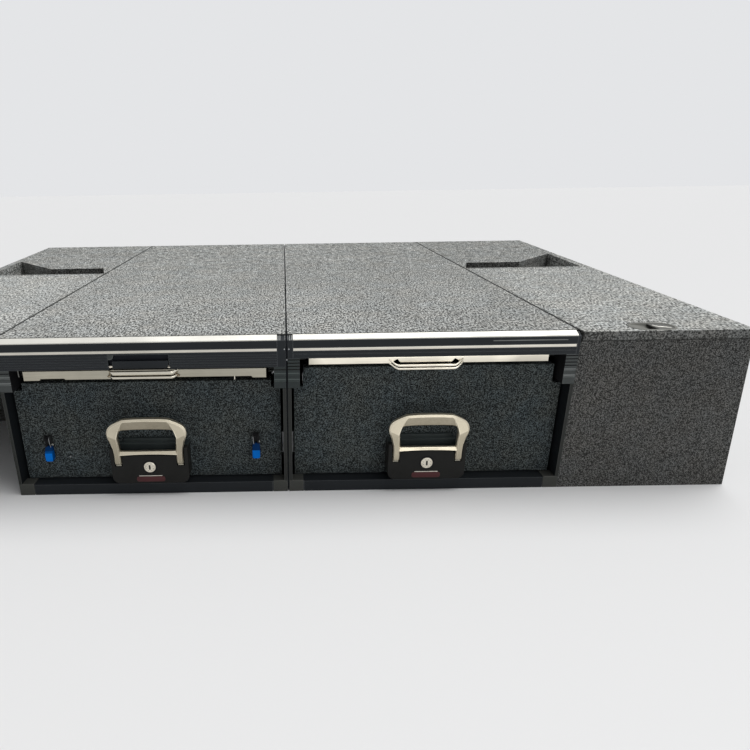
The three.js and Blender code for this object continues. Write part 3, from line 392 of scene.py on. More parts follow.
def loft(rings, close=False):
    """Faces between rings of equally many points, capped unless the last ring joins the first."""
    count = len(rings[0])
    points = [point for ring in rings for point in ring]
    faces = []
    for i in range(len(rings) if close else len(rings) - 1):
        a, b = i * count, ((i + 1) % len(rings)) * count
        faces += [(a + j, a + (j + 1) % count, b + (j + 1) % count, b + j) for j in range(count)]
    if not close:
        faces.append(tuple(reversed(range(count))))
        faces.append(tuple(range((len(rings) - 1) * count, len(rings) * count)))
    return points, faces


def plate(points, back, front, rounding, steps=3):
    """A plate facing the front, with its front edge rounded."""
    rings = [[(x, back, z) for x, z in points]]
    way = 1 if front > back else -1
    for i in range(steps + 1):
        turn = math.pi / 2 * i / steps
        step = rounding * (1 - math.cos(turn))
        y = front - way * rounding * (1 - math.sin(turn))
        rings.append([(x, y, z) for x, z in inset(points, step)])
    return loft(rings)


def rounds(profile, x, z, sides):
    """Rings about an axis along Y, one for each (radius, y) of the profile."""
    turns = [math.tau * i / sides for i in range(sides)]
    return [[(x + r * math.cos(t), y, z + r * math.sin(t)) for t in turns] for r, y in profile]


def turned(profile, x, z, sides):
    """A round shape whose profile ends at or near the axis."""
    return loft(rounds(profile, x, z, sides))


def tube(path, radius, sides, close=False):
    """A round bar along a path of points."""
    rings = []
    count = len(path)
    for i, point in enumerate(path):
        before = path[i - 1] if i or close else path[i]
        after = path[(i + 1) % count] if i < count - 1 or close else path[i]
        along = (Vector(after) - Vector(before)).normalized()
        up = Vector((0, 0, 1)) if abs(along.z) < 0.9 else Vector((0, 1, 0))
        a = along.cross(up).normalized()
        b = along.cross(a).normalized()
        rings.append([tuple(Vector(point) + a * radius * math.cos(math.tau * j / sides)
                            + b * radius * math.sin(math.tau * j / sides)) for j in range(sides)])
    return loft(rings, close)


def merged(*shapes):
    points, faces = [], []
    for more_points, more_faces in shapes:
        start = len(points)
        points += more_points
        faces += [tuple(start + i for i in face) for face in more_faces]
    return points, faces


def piece(name, shape, body, look, slot=None, replaces=(), sharp=35, bevel=0.0, lean=35, second=()):
    """Makes one piece from a shape in millimetres.

    sharp is the angle from which an edge is hard, bevel rounds the edges that turn by lean or more, and
    second holds pairs of a look and a test of a face's middle and normal.
    """
    points, faces = shape
    mesh = bpy.data.meshes.new(name)
    mesh.from_pydata([mm(*point) for point in points], [], faces)
    made = bmesh.new()
    made.from_mesh(mesh)
    bmesh.ops.remove_doubles(made, verts=made.verts, dist=1e-6)
    bmesh.ops.dissolve_degenerate(made, edges=made.edges, dist=1e-7)
    bmesh.ops.recalc_face_normals(made, faces=made.faces)
    mesh.materials.append(looks[look])
    for number, (other, test) in enumerate(second, 1):
        mesh.materials.append(looks[other])
        for face in made.faces:
            middle = face.calc_center_median() * 1000
            if test(middle.x, middle.y - FRONT_PLANE, middle.z, face.normal):
                face.material_index = number
    for face in made.faces:
        face.smooth = True
    made.to_mesh(mesh)
    made.free()
    mesh.set_sharp_from_angle(angle=math.radians(sharp))
    thing = add(name, mesh)
    if bevel:
        soften(thing, bevel / 1000, lean)
    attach(thing, body)
    if replaces:
        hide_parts(*replaces)


def piecer(prefix, body, slot, node):
    """A short form of piece() for one node's pieces."""
    def make(name, shape, look, **options):
        piece(prefix + name, shape, body, look, slot, (node,), **options)
    return make


def soften(thing, width, angle=35):
    bevel = thing.modifiers.new("rounded_edges", "BEVEL")
    bevel.width = width
    bevel.segments = 2
    bevel.limit_method = "ANGLE"
    bevel.angle_limit = math.radians(angle)


def screw(x, y, z, radius, proud, way=-1):
    """Pan head with a recess for the driver, facing the front or, with way 1, the back."""
    steps = ((1, -0.5), (1, proud * 0.3), (0.86, proud * 0.8), (0.55, proud), (0.42, proud),
             (0.2, proud * 0.2), (0.05, proud * 0.2))
    return turned([(radius * share, y + way * out) for share, out in steps], x, z, 16)


# Source nodes that stay: finishes and rounded edges

# How the names of the nodes in the side carpet, darkened as painted shade, begin
CARPET_SIDES = ("wing_front", "wing_side", "wing_rear_left", "wing_rear_right", "rear_panel",
                "wing_bulkhead")
# How far the edges are rounded, in mm
EDGES = {"carpet": 2.2, "graphite_alloy": 0.35, "bright_trim": 0.3, "stainless": 0.3, "zinc_steel": 0.3,
         "black_plastic": 0.5, "grey_plastic": 0.4, "blue_plastic": 0.8, "nickel": 0.3, "cast_alloy": 0.6}

for row in frame["record"]["subparts"]:
    name, slot = row["node"], row["material_slot"]
    node = frame["nodes"][name]
    look = slot
    # Drawer fronts and the wings' standing faces take darker copies of the carpet: painted shade.
    if name.startswith("drawer_front"):
        look = "carpet_front_shaded"
    elif name.startswith(CARPET_SIDES):
        look = "carpet_side_shaded"
    elif name.startswith("side_wall"):
        look = "wall_alloy"
    node.data.materials.clear()
    node.data.materials.append(looks[look])
    soften(node, EDGES[slot] / 1000)


# Handles: cast frame with a grip panel between two slanting creases; panel and legs painted darker as shade

HANDLE_MIDDLE = 236.5
LEG_TOP = 100  # Z below which a station belongs to a leg
LEG_MIDDLE = 53
BAR_HALF = 48.6  # half the length of the bar between the legs
# (x, z) of the outer edge, the crease and the inner edge, then their depths, from the top down
HANDLE_STATIONS = [
    ((0, 147.0), (0, 144.2), (0, 127.4), -13.0, -13.0, -10.6),
    ((20, 146.6), (19.4, 143.9), (20, 127.1), -13.0, -13.0, -10.6),
    ((33, 145.9), (32, 143.2), (33, 126.6), -13.0, -13.0, -10.6),
    ((38.5, 145.2), (36.5, 142.4), (38, 126.3), -12.9, -13.0, -10.6),
    ((44.5, 142.8), (40.3, 137.6), (42.6, 125.6), -12.3, -13.0, -10.7),
    ((52.0, 138.9), (44.0, 131.4), (45.6, 123.8), -11.2, -13.0, -10.9),
    ((58.8, 134.9), (46.4, 125.4), (47.3, 121.0), -10.6, -13.0, -11.2),
    ((62.6, 131.6), (47.9, 120.9), (48.3, 118.0), -10.5, -13.0, -11.6),
    ((65.3, 127.4), (49.0, 116.8), (48.9, 115.0), -10.8, -13.0, -12.0),
    ((66.7, 122.6), (50.0, 113.6), (49.0, 112.0), -11.4, -13.0, -12.4),
    ((67.0, 118.6), (50.5, 110.6), (49.0, 109.2), -12.2, -13.0, -12.6),
    ((66.0, 113.2), (50.2, 107.5), (48.8, 106.4), -12.9, -13.0, -12.6),
    ((63.6, 106.6), (49.8, 102.6), (48.5, 101.6), -12.6, -12.8, -12.4),
    ((61.0, 98.6), (49.4, 96.6), (48.1, 96.0), -12.3, -12.5, -12.2),
    ((59.0, 91.0), (49.0, 90.4), (47.7, 90.0), -12.0, -12.3, -12.0),
    ((58.3, 80.0), (48.8, 80.0), (47.5, 80.0), -11.8, -12.1, -11.8),
    ((58.3, 67.4), (48.8, 67.4), (47.5, 67.4), -11.6, -11.9, -11.6),
    ((58.3, 63.6), (48.8, 63.6), (47.5, 63.6), -10.4, -10.6, -10.4),
    ((58.3, 62.6), (48.8, 62.6), (47.5, 62.6), -8.6, -8.8, -8.6),
]


def handle_ring(way, middle, station):
    """A section of the frame: back, outer side, outer edge, crease, inner edge, inner side, back."""
    (ox, oz), (cx, cz), (ix, iz), deep_o, deep_c, deep_i = station
    out = Vector((ox - ix, oz - iz)).normalized()
    leg = oz < LEG_TOP
    wide = 1.6 if leg else 3.0
    chamfer, back = 1.6, 1.4
    ex, ez = ox - out.x * wide, oz - out.y * wide
    if leg or abs(cx) < 34:  # without a crease of its own: it lies close to one of the edges
        blend = 0.04 if leg else 0.96
        cx = (ix + out.x * chamfer) * (1 - blend) + ex * blend
        cz = (iz + out.y * chamfer) * (1 - blend) + ez * blend
    section = [
        (ox - out.x * back, oz - out.y * back, -1.1), (ox, oz, -2.6), (ox, oz, deep_o + 2.4),
        (ex, ez, deep_o), (cx, cz, deep_c), (ix + out.x * chamfer, iz + out.y * chamfer, deep_i),
        (ix, iz, deep_i + 1.6), (ix, iz, -2.6), (ix + out.x * back, iz + out.y * back, -1.1),
    ]
    return [(middle + way * x, y, z) for x, z, y in section]


def handle(side, label):
    middle = side * HANDLE_MIDDLE
    body = f"handle_{label}"
    left = [handle_ring(-1, middle, station) for station in reversed(HANDLE_STATIONS[1:])]
    right = [handle_ring(1, middle, station) for station in HANDLE_STATIONS]

    def on_panel(x, y, z, normal):
        """Under the crease, which slants down beside the panel."""
        away = abs(x - middle)
        crease = 143 - 1.62 * max(away - 34.5, 0)
        return normal.y < -0.5 and 112 < z < crease and away < 50 and y > -12.75

    def on_leg(x, y, z, normal):
        return z < 112.5 and normal.y < -0.5

    part = piecer(f"{body}_", body, None, body)
    # The legs and the grip panel take darker copies of the cast look: painted shade.
    part("frame", loft(left + right), "cast_alloy", sharp=24, bevel=0.5, lean=24,
         second=(("cast_leg_shaded", on_leg), ("cast_panel_shaded", on_panel)))
    bar = []
    for i in range(13):
        x = -BAR_HALF + 2 * BAR_HALF * i / 12
        bow = 1 - (x / BAR_HALF) ** 2
        low, high = 79.6 + 1.9 * bow, 87.0 - 0.3 * bow
        section = [(-10.6, low), (-11.8, low + 1.0), (-9.6, high - 0.6), (-8.6, high), (-3.6, high),
                   (-2.8, high - 0.8), (-2.8, low + 0.8), (-3.6, low)]
        bar.append([(middle + x, y, z) for y, z in section])
    part("bar", loft(bar), "cast_alloy", sharp=30, bevel=0.3, lean=30)
    pins = [tube([(middle + way * x, -7, 68) for x in (LEG_MIDDLE, 62.3)], 0.9, 12) for way in (-1, 1)]
    # The steel pins are painted dark as shade.
    piece(f"{body}_pins", merged(*pins), body, "dark", "nickel", (body,))


# Handle bases: plastic body with ears, arched edge, shelf, lock rim, bare badge strip and foot pads

DRAWER_FACE = 21.7  # Y of what lies against a drawer front
EYE_HALF, EYE_LOW = 46.5, 77  # the arched edge under the grip
LOCK_HEIGHT = 56.5


def base_outline(slots):
    """The base from the front, with or without the slots in which the handle's legs lie."""
    floor, wall = (58, EYE_HALF) if slots else (EYE_LOW, 46.6)
    crown = [(x, EYE_LOW + 1.8 * (1 - (x / EYE_HALF) ** 2))
             for x in (EYE_HALF, 36, 24, 12, 0, -12, -24, -36, -EYE_HALF)]
    across, low, radius = 53, 38, 13  # centre and radius of the lower corners
    right = arc((across, low), radius, 270, 360, 8) + [(66, 91), (65, 92), (60.5, 92), (59.6, 91)]
    left = [(-59.6, 91), (-60.5, 92), (-65, 92), (-66, 91)] + arc((-across, low), radius, 180, 270, 8)
    slot = [(59.5, floor), (wall, floor)]
    return right + slot + crown + [(-x, z) for x, z in reversed(slot)] + left


def handle_base(side, label):
    middle = side * HANDLE_MIDDLE

    def flat(outline, *depth):
        return plate([(middle + x, z) for x, z in outline], *depth)

    def part(name, shape, look, slot="black_plastic", **options):
        piece(name, shape, f"drawer_{label}", look, slot, (f"handle_base_{label}",), **options)

    def on_ledge(x, y, z, normal):
        return y > 12 and z > 80

    front = flat(base_outline(True), 4, -8, 1.0)
    back = flat(base_outline(False), DRAWER_FACE, 3.9, 0.3, 1)
    shelf = flat(rounded_box(-59, 59, 77.5, 92, 1.2), DRAWER_FACE, 12.4, 0.9)
    upper = flat(rounded_box(-46.5, 46.5, 90, 99, 1.2), DRAWER_FACE, 15.6, 0.9)
    housing = flat(rounded_box(-38, 38, 31, 75, 2), 21, 36.7, 1)
    part(f"handle_base_{label}_body", merged(front, back, shelf, upper, housing), "black_plastic",
         second=(("block_inner", on_ledge),))
    rim = [(12.4, -7.6), (12.8, -8.1), (12.4, -8.6), (11.6, -8.7), (11.1, -8.4), (11.0, -7.6)]
    part(f"lock_rim_{label}", loft(list(zip(*rounds(rim, middle, LOCK_HEIGHT, 40))), True), "dark")
    badge = flat(rounded_box(-24.5, 24.5, 28.2, 38.4, 4.2, 6), -7.6, -8.5, 0.4)
    part(f"badge_strip_{label}", badge, "badge")
    line = flat(rounded_box(-20, 20, 38.9, 40.2, 0.6), -7.6, -8.6, 0.3)
    part(f"badge_line_{label}", line, "bead_trim", "bright_trim")
    pads = [flat(rounded_box(x - 4.6, x + 4.6, 58.0, 60.6, 0.6), 3.5, -6.4, 0.4)
            for x in (-LEG_MIDDLE, LEG_MIDDLE)]
    part(f"foot_pads_{label}", merged(*pads), "stainless", "zinc_steel")


# Key barrels: stepped face with a keyhole and punched dimples

def barrel(side, label):
    middle, high, sides = side * HANDLE_MIDDLE, LOCK_HEIGHT, 48
    turns = [math.tau * i / sides for i in range(sides)]
    half_wide, half_tall = 1.1, 4.0  # of the keyhole

    def slot_point(turn, grow, y):
        x, z = math.cos(turn), math.sin(turn)
        scale = min((half_wide + grow) / max(abs(x), 1e-6), (half_tall + grow) / max(abs(z), 1e-6))
        return middle + x * scale, y, high + z * scale

    def in_shade(x, y, z, normal):
        return (y > -9.5 and math.hypot(x - middle, z - high) < 4.6) or y > -8.6

    rings = [[slot_point(t, grow, y) for t in turns] for grow, y in ((0, -5.6), (0, -9.3), (0.35, -9.6))]
    steps = ((5.4, -9.6), (7.4, -9.6), (7.7, -9.3), (8.1, -9.3), (8.4, -9.6), (9.2, -9.6), (9.9, -9.1),
             (10.0, -8.2), (10.2, -7.9), (10.8, -7.9), (10.8, 10.4))
    rings += rounds(steps, middle, high, sides)
    part = piecer("lock_", f"lock_{label}", "nickel", f"lock_barrel_{label}")
    part(f"barrel_{label}_face", loft(rings), "nickel", sharp=30, second=(("dark", in_shade),))
    dimple = [(0.55, -9.65), (0.5, -9.72), (0.2, -9.66), (0.05, -9.64)]
    marks, count, reach = [], 8, 6.5
    for i in range(count):
        turn = math.tau * (i + 0.5) / count
        marks.append(turned(dimple, middle + reach * math.cos(turn), high + reach * math.sin(turn), 10))
    part(f"dots_{label}", merged(*marks), "dark")


for label, side in SIDES.items():
    handle(side, label)
    handle_base(side, label)
    barrel(side, label)


# Rails: bright bead strips, a thin line under the nose and caps at the foot

RAIL_START = {"left": 15.3, "right": 10.3}
RAIL_END = 465.2
RAIL_UNDER = {"left": 231, "right": 245}


def along_x(profile, x0, x1):
    return loft([[(x, y, z) for y, z in profile] for x in (x0, x1)])


def along_y(side, section, y0, y1):
    return loft([[(side * u, y, z) for u, z in section] for y in (y0, y1)])


def strip(name, side, ends, profile, look, slot, bevel=0.15):
    piece(name, along_x(profile, side * ends[0], side * ends[1]), "frame", look, slot, bevel=bevel, sharp=30)


FOOT_CAPS = {"inner": (1.7, 26.0), "outer": (444.6, 469.6)}
foot_cap = [(3, 0.3), (-0.35, 0.3), (-0.35, 20.9), (0.4, 21.6), (21, 21.6), (22, 20.4), (3, 19)]
bead = [(0.4, 257.8), (-0.8, 257.9), (-1.0, 258.2), (-0.9, 260.0), (-0.84, 262.1), (-0.7, 262.5),
        (0.4, 262.6)]
nose_line = [(0.3, 268.6), (-0.35, 268.8), (-0.35, 270.2), (0.3, 270.5)]

for label, side in SIDES.items():
    ends = (RAIL_START[label] + 0.4, RAIL_END - 1.6)
    strip(f"bead_{label}", side, ends, bead, "bead_trim", "bright_trim", 0.05)
    if label == "right":
        strip("nose_line", side, (330, RAIL_END - 16), nose_line, "rail_line", "graphite_alloy")
    for where, ends in FOOT_CAPS.items():
        strip(f"foot_cap_{where}_{label}", side, ends, foot_cap, "foot_cap", "graphite_alloy", 0.4)


# A dark strip deep in the seam between the two modules, standing for the shade there

seam_strip_profile = [(-1.1, 4), (1.1, 4), (1.3, 12), (0.7, 24), (0.7, 258), (1.3, 268), (1.0, 277), (0, 279),
        (-1.0, 277), (-1.3, 268), (-0.7, 258), (-0.7, 24), (-1.3, 12)]
# A dark strip in the seam, painted shade.
piece("seam_shade_strip", along_y(1, seam_strip_profile, 5, 1196), "frame", "seam_strip_dark", "black_plastic")
bolt = [(0.05, 0.2), (0.9, 0.2), (1.2, 0.5), (1.3, 0.1), (1.3, 2.4), (0.8, 2.6), (0.8, 45), (0.05, 45)]
piece("seam_bolt", turned(bolt, 0.2, 242.6, 16), "frame", "zinc_steel", "bright_trim")
hook = [(-21.4, 1.4, 224.0), (-21.9, 0.6, 222.6), (-22.8, 0.4, 221.2), (-24.2, 0.8, 220.4)]
piece("block_hook", tube(hook, 0.6, 10), "frame", "zinc_steel", "bright_trim")


# Corner blocks: smooth foot, two ribs with a painted highlight on their upward faces, fine grooves painted
# dark as shade, and the cap over the rail's end

BLOCK_WIDTH, BLOCK_BACK, BLOCK_LOW = 19.4, 40, 193.5
LIT_RIBS = (206.4, 217.0)  # Z of their lower edges
GROOVES_FROM, GROOVE_PITCH = 221.4, 5.5


def corner_block(label, side, outer):
    face, inwards = (469.9, -1) if outer else (1.6, 1)
    top = RAIL_UNDER[label] - 0.3
    profile = [(BLOCK_BACK, BLOCK_LOW), (0.9, BLOCK_LOW), (0, BLOCK_LOW + 0.9), (0, 205.6), (0.8, 206.2)]
    for low in LIT_RIBS:
        profile += [(0.9, low), (0, low + 0.7), (0, low + 1.7), (1.0, low + 3.4), (1.0, low + 3.8)]
        if low == LIT_RIBS[0]:  # the hollow between the two
            profile += [(0.5, low + 4.2), (0.5, low + 10.0), (0.9, low + 10.4)]
    z = GROOVES_FROM
    while z < top - 4.5:
        profile += [(0.2, z), (0, z + 0.6), (0, z + 3.2), (0.2, z + 3.6), (1.7, z + 3.9), (1.7, z + 5.3)]
        z += GROOVE_PITCH
    profile += [(0.2, min(z, top - 0.5)), (0.4, top), (BLOCK_BACK, top)]
    block = along_x(profile, side * face, side * (face + inwards * BLOCK_WIDTH))
    cap_width = 4.5 if outer else RAIL_START[label] - 1.8
    cap_profile = [(BLOCK_BACK, top - 0.3), (BLOCK_BACK, 266.6), (12, 266.6), (12, 280.3), (11, 280.3),
                   (0.2, 275.4), (0, 274.6), (0, top - 0.3)]
    cap = along_x(cap_profile, side * face, side * (face + inwards * cap_width))
    body, rib_highlight, groove_shade = ("block_plastic", "block_rib_lit", "dark") if outer else (
        "block_inner", "block_inner_rib_lit", "black_plastic")

    # The ribs' upward faces take a painted highlight.
    def on_rib(x, y, z, normal):
        return normal.z > 0.25 and y < 12 and 205 < z < 222

    # The grooves' deep faces are painted dark as shade.
    def in_groove(x, y, z, normal):
        return z > 221 and 0.6 < y < 2

    def on_side(x, y, z, normal):
        return abs(normal.x) > 0.9

    name = f"corner_block_{'outer' if outer else 'inner'}_{label}"
    part = piecer(f"{name}_", "frame", "black_plastic", name)
    part("ribbed", block, body, sharp=30, bevel=0.25,
         second=((rib_highlight, on_rib), (groove_shade, in_groove), ("dark", on_side)))
    part("cap", cap, "graphite_alloy", sharp=30, bevel=0.25)
    if outer:
        return
    rib = [(0.0, 275.2), (-0.3, 275.6), (10.6, 280.6), (11.2, 280.2)]
    places = ((RAIL_START[label] - 2.6, 1.5), (RAIL_START[label] - 5.6, 1.3), (2.2, 0.5))
    ribs = [along_x(rib, side * u, side * (u + wide)) for u, wide in places]
    piece(f"{name}_cap_ribs", merged(*ribs), "frame", "rail_line", "bright_trim", sharp=30)
    piece(f"{name}_cap_screw", screw(side * 3.6, 0.1, 260.6, 1.2, 0.5), "frame", "zinc_steel", "bright_trim")


for label, side in SIDES.items():
    for outer in (False, True):
        corner_block(label, side, outer)


# Tables: rolled sheet deck, turned-down lip and a bent double strap to pull on

# ends and pull: where the lip and the strap begin and end, from the seam
TABLES = {
    "left": dict(top=229.0, low=212.0, ends=(34, 430), pull=(176, 291), look="stainless"),
    # The right lip takes the brighter copy of stainless: painted light.
    "right": dict(top=244.7, low=232.7, ends=(36, 424), pull=(165, 287), look="stainless_bright"),
}
TAB_STEP = 214.8  # Z of the left lip's lower edge between its tabs
PULL_EDGE = 234.2  # Z of the right lip's lower edge behind its strap
SHEET = 1.5
BEND = 2.5  # outer radius of the lip's bend
LIP_FRONT, LIP_BACK = 4.0, 19.6
DECK_FRONT, RUNNER_FRONT, TABLE_BACK = 19, 62, 904
RUNNER_ENDS = (21.5, 450.0)


def lip_ring(x, top, low):
    """A section of the lip: sheet turned down over a bend."""
    centre = (LIP_FRONT + BEND, top - BEND)
    outside = [(LIP_FRONT + 0.2, low), (LIP_FRONT, low + 0.3)] + arc(centre, BEND, 180, 90, 4)
    inside = [(LIP_FRONT + SHEET, low)] + arc(centre, BEND - SHEET, 180, 90, 2)
    section = outside + [(LIP_BACK, top), (LIP_BACK, top - SHEET)] + inside[::-1]
    return [(x, y, z) for y, z in section]


def table(label, side):
    spec = TABLES[label]
    top, low, (start, end), (inner, outer) = (spec[key] for key in ("top", "low", "ends", "pull"))
    part = piecer(f"table_{label}_", f"table_{label}", "stainless", f"table_{label}")
    section = [(start, low), (start + SHEET, low), (start + SHEET, top - SHEET), (end - SHEET, top - SHEET),
               (end - SHEET, low), (end, low), (end, top), (start, top)]
    part("deck", along_y(side, section, DECK_FRONT, TABLE_BACK), "stainless", bevel=0.6)
    runners = []
    for a, b in ((RUNNER_ENDS[0], start + 0.6), (end - 0.6, RUNNER_ENDS[1])):
        section = [(a, low), (b, low), (b, low + SHEET), (a, low + SHEET)]
        runners.append(along_y(side, section, RUNNER_FRONT, TABLE_BACK))
    part("runners", merged(*runners), "stainless", bevel=0.4)

    if label == "left":
        edge = [(start, low), (55.2, low), (56.6, low + 0.6), (58.0, TAB_STEP), (inner + 3, TAB_STEP),
                (inner + 3.1, 226), (outer - 3.1, 226), (outer - 3, low + 1), (362, low + 1), (364, TAB_STEP),
                (402.6, TAB_STEP), (404, low + 0.6), (405.4, low), (end, low)]
    else:
        pull = [(4, low), (11, 238.4), (14.6, 239.8), (19, 234.4), (21, PULL_EDGE)]
        edge = [(start, low)] + [(inner + u, z) for u, z in pull]
        edge += [(outer - u, z) for u, z in reversed(pull)] + [(end, low)]
    stations = []
    for (u0, z0), (u1, z1) in zip(edge, edge[1:]):
        count = max(1, round((u1 - u0) / 30))
        stations += [(u0 + (u1 - u0) * i / count, z0 + (z1 - z0) * i / count) for i in range(count)]
    stations.append(edge[-1])
    lip = loft([lip_ring(side * u, top, z) for u, z in stations])
    if label == "left":
        stop = [(5.2, 216), (5.0, 212), (4.6, 209.2)]
        part("stop", tube([(side * 85.6, y, z) for y, z in stop], 1.1, 12), "nickel")
    cheek = [(LIP_FRONT + 0.05, low), (LIP_BACK, low), (LIP_BACK, top - 0.1), (6.5, top - 0.1),
             (4.8, top - 0.8), (LIP_FRONT + 0.05, top - BEND)]
    cheeks = [along_x(cheek, side * a, side * b) for a, b in
              ((start + 0.02, start + 1.4), (end - 1.4, end - 0.02))]
    part("lip", merged(lip, *cheeks), spec["look"], sharp=30)
    middle, half = (inner + outer) / 2, (outer - inner) / 2
    bars = strap(side, middle, half, *STRAPS[label])
    part("strap", bars, STRAP_LOOKS[label], sharp=28, bevel=0.2, lean=28)
    if label == "left":
        part("welds", welds(side, middle, half), "weld", sharp=60)


# The right strap takes the brighter copy of stainless: painted light.
STRAP_LOOKS = {"left": "strap_steel", "right": "stainless_bright"}
# A strap's end (how far in from its tip, y, z), then the sections of its two bars
STRAPS = {
    "left": (
        [(0.5, 4.6, 217.6), (3.6, 1.0, 216.2), (6.6, -2.4, 215.3), (9.8, -4.4, 215.0), (13, -4.5, 215.0)],
        [(0.9, 0.0), (0.0, 0.5), (-1.5, 1.3), (-1.5, 3.5), (-0.6, 4.4), (0.6, 4.6), (2.2, 4.2), (2.2, 1.0)],
        [(1.2, 5.9), (-0.2, 7.0), (-1.0, 8.6), (-1.2, 10.2), (-0.7, 11.6), (0.4, 12.6), (1.6, 12.6),
         (2.2, 11.6), (2.2, 6.4)],
    ),
    "right": (
        [(0.5, 4.6, 231.8), (5, 1.2, 229.2), (10, -2.4, 225.9), (14.5, -4.6, 224.2), (18, -5.0, 224.0)],
        [(0.8, 0.0), (0.0, 0.1), (-1.0, 0.9), (-1.0, 3.0), (-0.4, 3.5), (1.0, 3.7), (2.4, 3.3), (3.0, 0.8)],
        [(0.2, 5.3), (-0.6, 5.8), (-1.0, 6.6), (-1.0, 8.0), (-0.3, 8.9), (0.8, 9.1), (2.4, 8.8), (3.0, 8.0),
         (2.8, 5.8)],
    ),
}


def strap(side, middle, half, tip, *bars):
    path = [(half - u, y, z) for u, y, z in tip]
    flat = [(u, *path[-1][1:]) for u in (half * 0.5, 0, -half * 0.5)]
    path += flat + [(-u, y, z) for u, y, z in reversed(path)]
    return merged(*(loft([[(side * (middle + u), y + dy, z + dz) for dy, dz in bar] for u, y, z in path])
                    for bar in bars))


def welds(side, middle, half):
    """Uneven beads where the strap's ends meet the lip."""
    beads = []
    for way in (-1, 1):
        for i in range(13):
            share = i / 12
            u = middle + way * (half - 0.5 - 8.0 * share + 1.6 * math.sin(i * 2.1))
            y = 3.2 - 3.6 * share + 0.5 * math.cos(i * 1.7)
            z = 217.4 + 8.8 * share + 1.2 * math.sin(i * 2.9)
            beads.append(blob(side * u, y, z, 1.7 + 0.5 * math.sin(i * 3.7), i + way * 40))
    return merged(*beads)


def blob(x, y, z, radius, seed):
    rows, sides = 6, 9
    rings = []
    for i in range(1, rows):
        turn = math.pi * i / rows
        high = z + radius * 0.8 * math.cos(turn)
        ring = []
        for j in range(sides):
            around = math.tau * j / sides
            swell = 1 + 0.22 * math.sin(3 * around + seed) * math.sin(2 * turn + seed * 0.7)
            r = radius * math.sin(turn) * swell
            ring.append((x + r * math.cos(around), y + r * math.sin(around), high))
        rings.append(ring)
    return loft(rings)


for label, side in SIDES.items():
    table(label, side)


# Spring catches: bracket with ears and coil, lever of two prongs with a rubber grip whose blue darkens
# towards the top, and painted shade on the grip's right-facing sides

# X of the middle, the wire's place beside it, and where the bright and the middle blue end
CATCHES = {"outer": (-413.5, 3.6, 77.0, 80.5), "inner": (-55, -4.6, 75.5, 76.0)}
# (z, half width, y of the front) of the grip's sections
GRIP_STATIONS = [
    (60.2, 3.4, 10.8), (60.5, 4.7, 9.5), (61.4, 5.7, 8.8), (62.9, 6.2, 8.4), (65.0, 6.3, 8.4),
    (73.4, 6.3, 8.4), (74.6, 6.3, 8.6), (76.0, 6.3, 9.2), (79.5, 6.2, 10.8), (83.5, 5.9, 12.6),
    (86.0, 5.4, 13.6), (87.5, 4.6, 14.8),
]
GRIP_WIDER = 1.07
GRIP_BACK = 19.3
AXLE_Y = 14.2


def catch(label, x, wire_place, bright_end, middle_end):
    part = piecer(f"catch_{label}_", f"catch_{label}", "blue_plastic", f"catch_grip_{label}")

    # The middle band, and the right-facing sides below it as painted shade.
    def on_middle_band_and_shaded_side(px, y, z, normal):
        return bright_end < z <= middle_end or (z <= bright_end and normal.x > 0.7)

    def on_top(px, y, z, normal):
        return z > middle_end

    outline = [(x + a, z) for a, z in rounded_box(-5.6, 5.6, 63.0, 104.6, 2.5)]
    ear = [(21, 97.0), (21, 107.4), (13, 107.2), (11.6, 106.4), (11, 105), (11, 101), (12, 98.6), (14, 97.0)]
    ears = [along_x(ear, x + way * 4.8, x + way * 6.0) for way in (-1, 1)]
    bracket = merged(plate(outline, DRAWER_FACE, 20.2, 0.5), *ears)
    piece(f"catch_bracket_{label}_plate", bracket, "drawer_left", "bracket", "black_plastic",
          (f"catch_bracket_{label}",), bevel=0.3)
    coil = []
    for i in range(61):
        turn = i * math.tau / 10
        coil.append((x - 3.2 + 6.4 * i / 60, AXLE_Y + 2.0 * math.cos(turn), 103 + 2.0 * math.sin(turn)))
    piece(f"catch_spring_{label}", tube(coil, 0.38, 8), "drawer_left", "dark", "zinc_steel")
    head = screw(x + 4.6, 20.2, 87.8, 1.9, 0.9)
    piece(f"catch_screw_{label}", head, "drawer_left", "bright_trim", "zinc_steel")
    grip = []
    for z, half, front in GRIP_STATIONS:
        wide = GRIP_WIDER * half
        ring = rounded_box(-wide, wide, front, GRIP_BACK, min(1.6, half / 2), 4)
        grip.append([(x + a, y, z) for a, y in ring])
    part("grip", loft(grip), "blue_plastic", sharp=40,
         second=(("blue_middle_and_shade", on_middle_band_and_shaded_side), ("blue_dark", on_top)))
    prong = ((15.5, 85), (14.6, 92), (AXLE_Y, 103))
    prongs = [tube([(x + way * 3.4, y, z) for y, z in prong], 1.5, 12) for way in (-1, 1)]
    axle = tube([(x - 4.7, AXLE_Y, 103.4), (x + 4.7, AXLE_Y, 103.4)], 1.5, 14)
    part("prongs", merged(*prongs, axle), "dark", sharp=40)
    a = x + wire_place
    wire = [(a + 0.8, 12.6, 86.5), (a, 11.6, 94), (a - 0.4, 11.8, 102.6), (a - 0.4, 13.2, 104)]
    part("wire", tube(wire, 0.45, 8), "zinc_steel")


for label, places in CATCHES.items():
    catch(label, *places)
piece("front_stud", screw(-381, 21.0, 63.8, 1.7, 2.6), "drawer_left", "zinc_steel")
guide = tube([(-441, 12, 229.5), (-441.2, 12, 222), (-441, 12, 216)], 0.9, 10)
piece("table_guide", guide, "frame", "guide_steel", "zinc_steel")


# Flush latches: cup with a rolled rim in a dark ring that stands for the shadow around it, most at its back,
# and a ribbed paddle over its outer half

LATCH_MIDDLE, LATCH_Y, LATCH_HALF, LATCH_RADIUS = 596, 25.5, 36, 21.5
DISH_TOP = 281.4
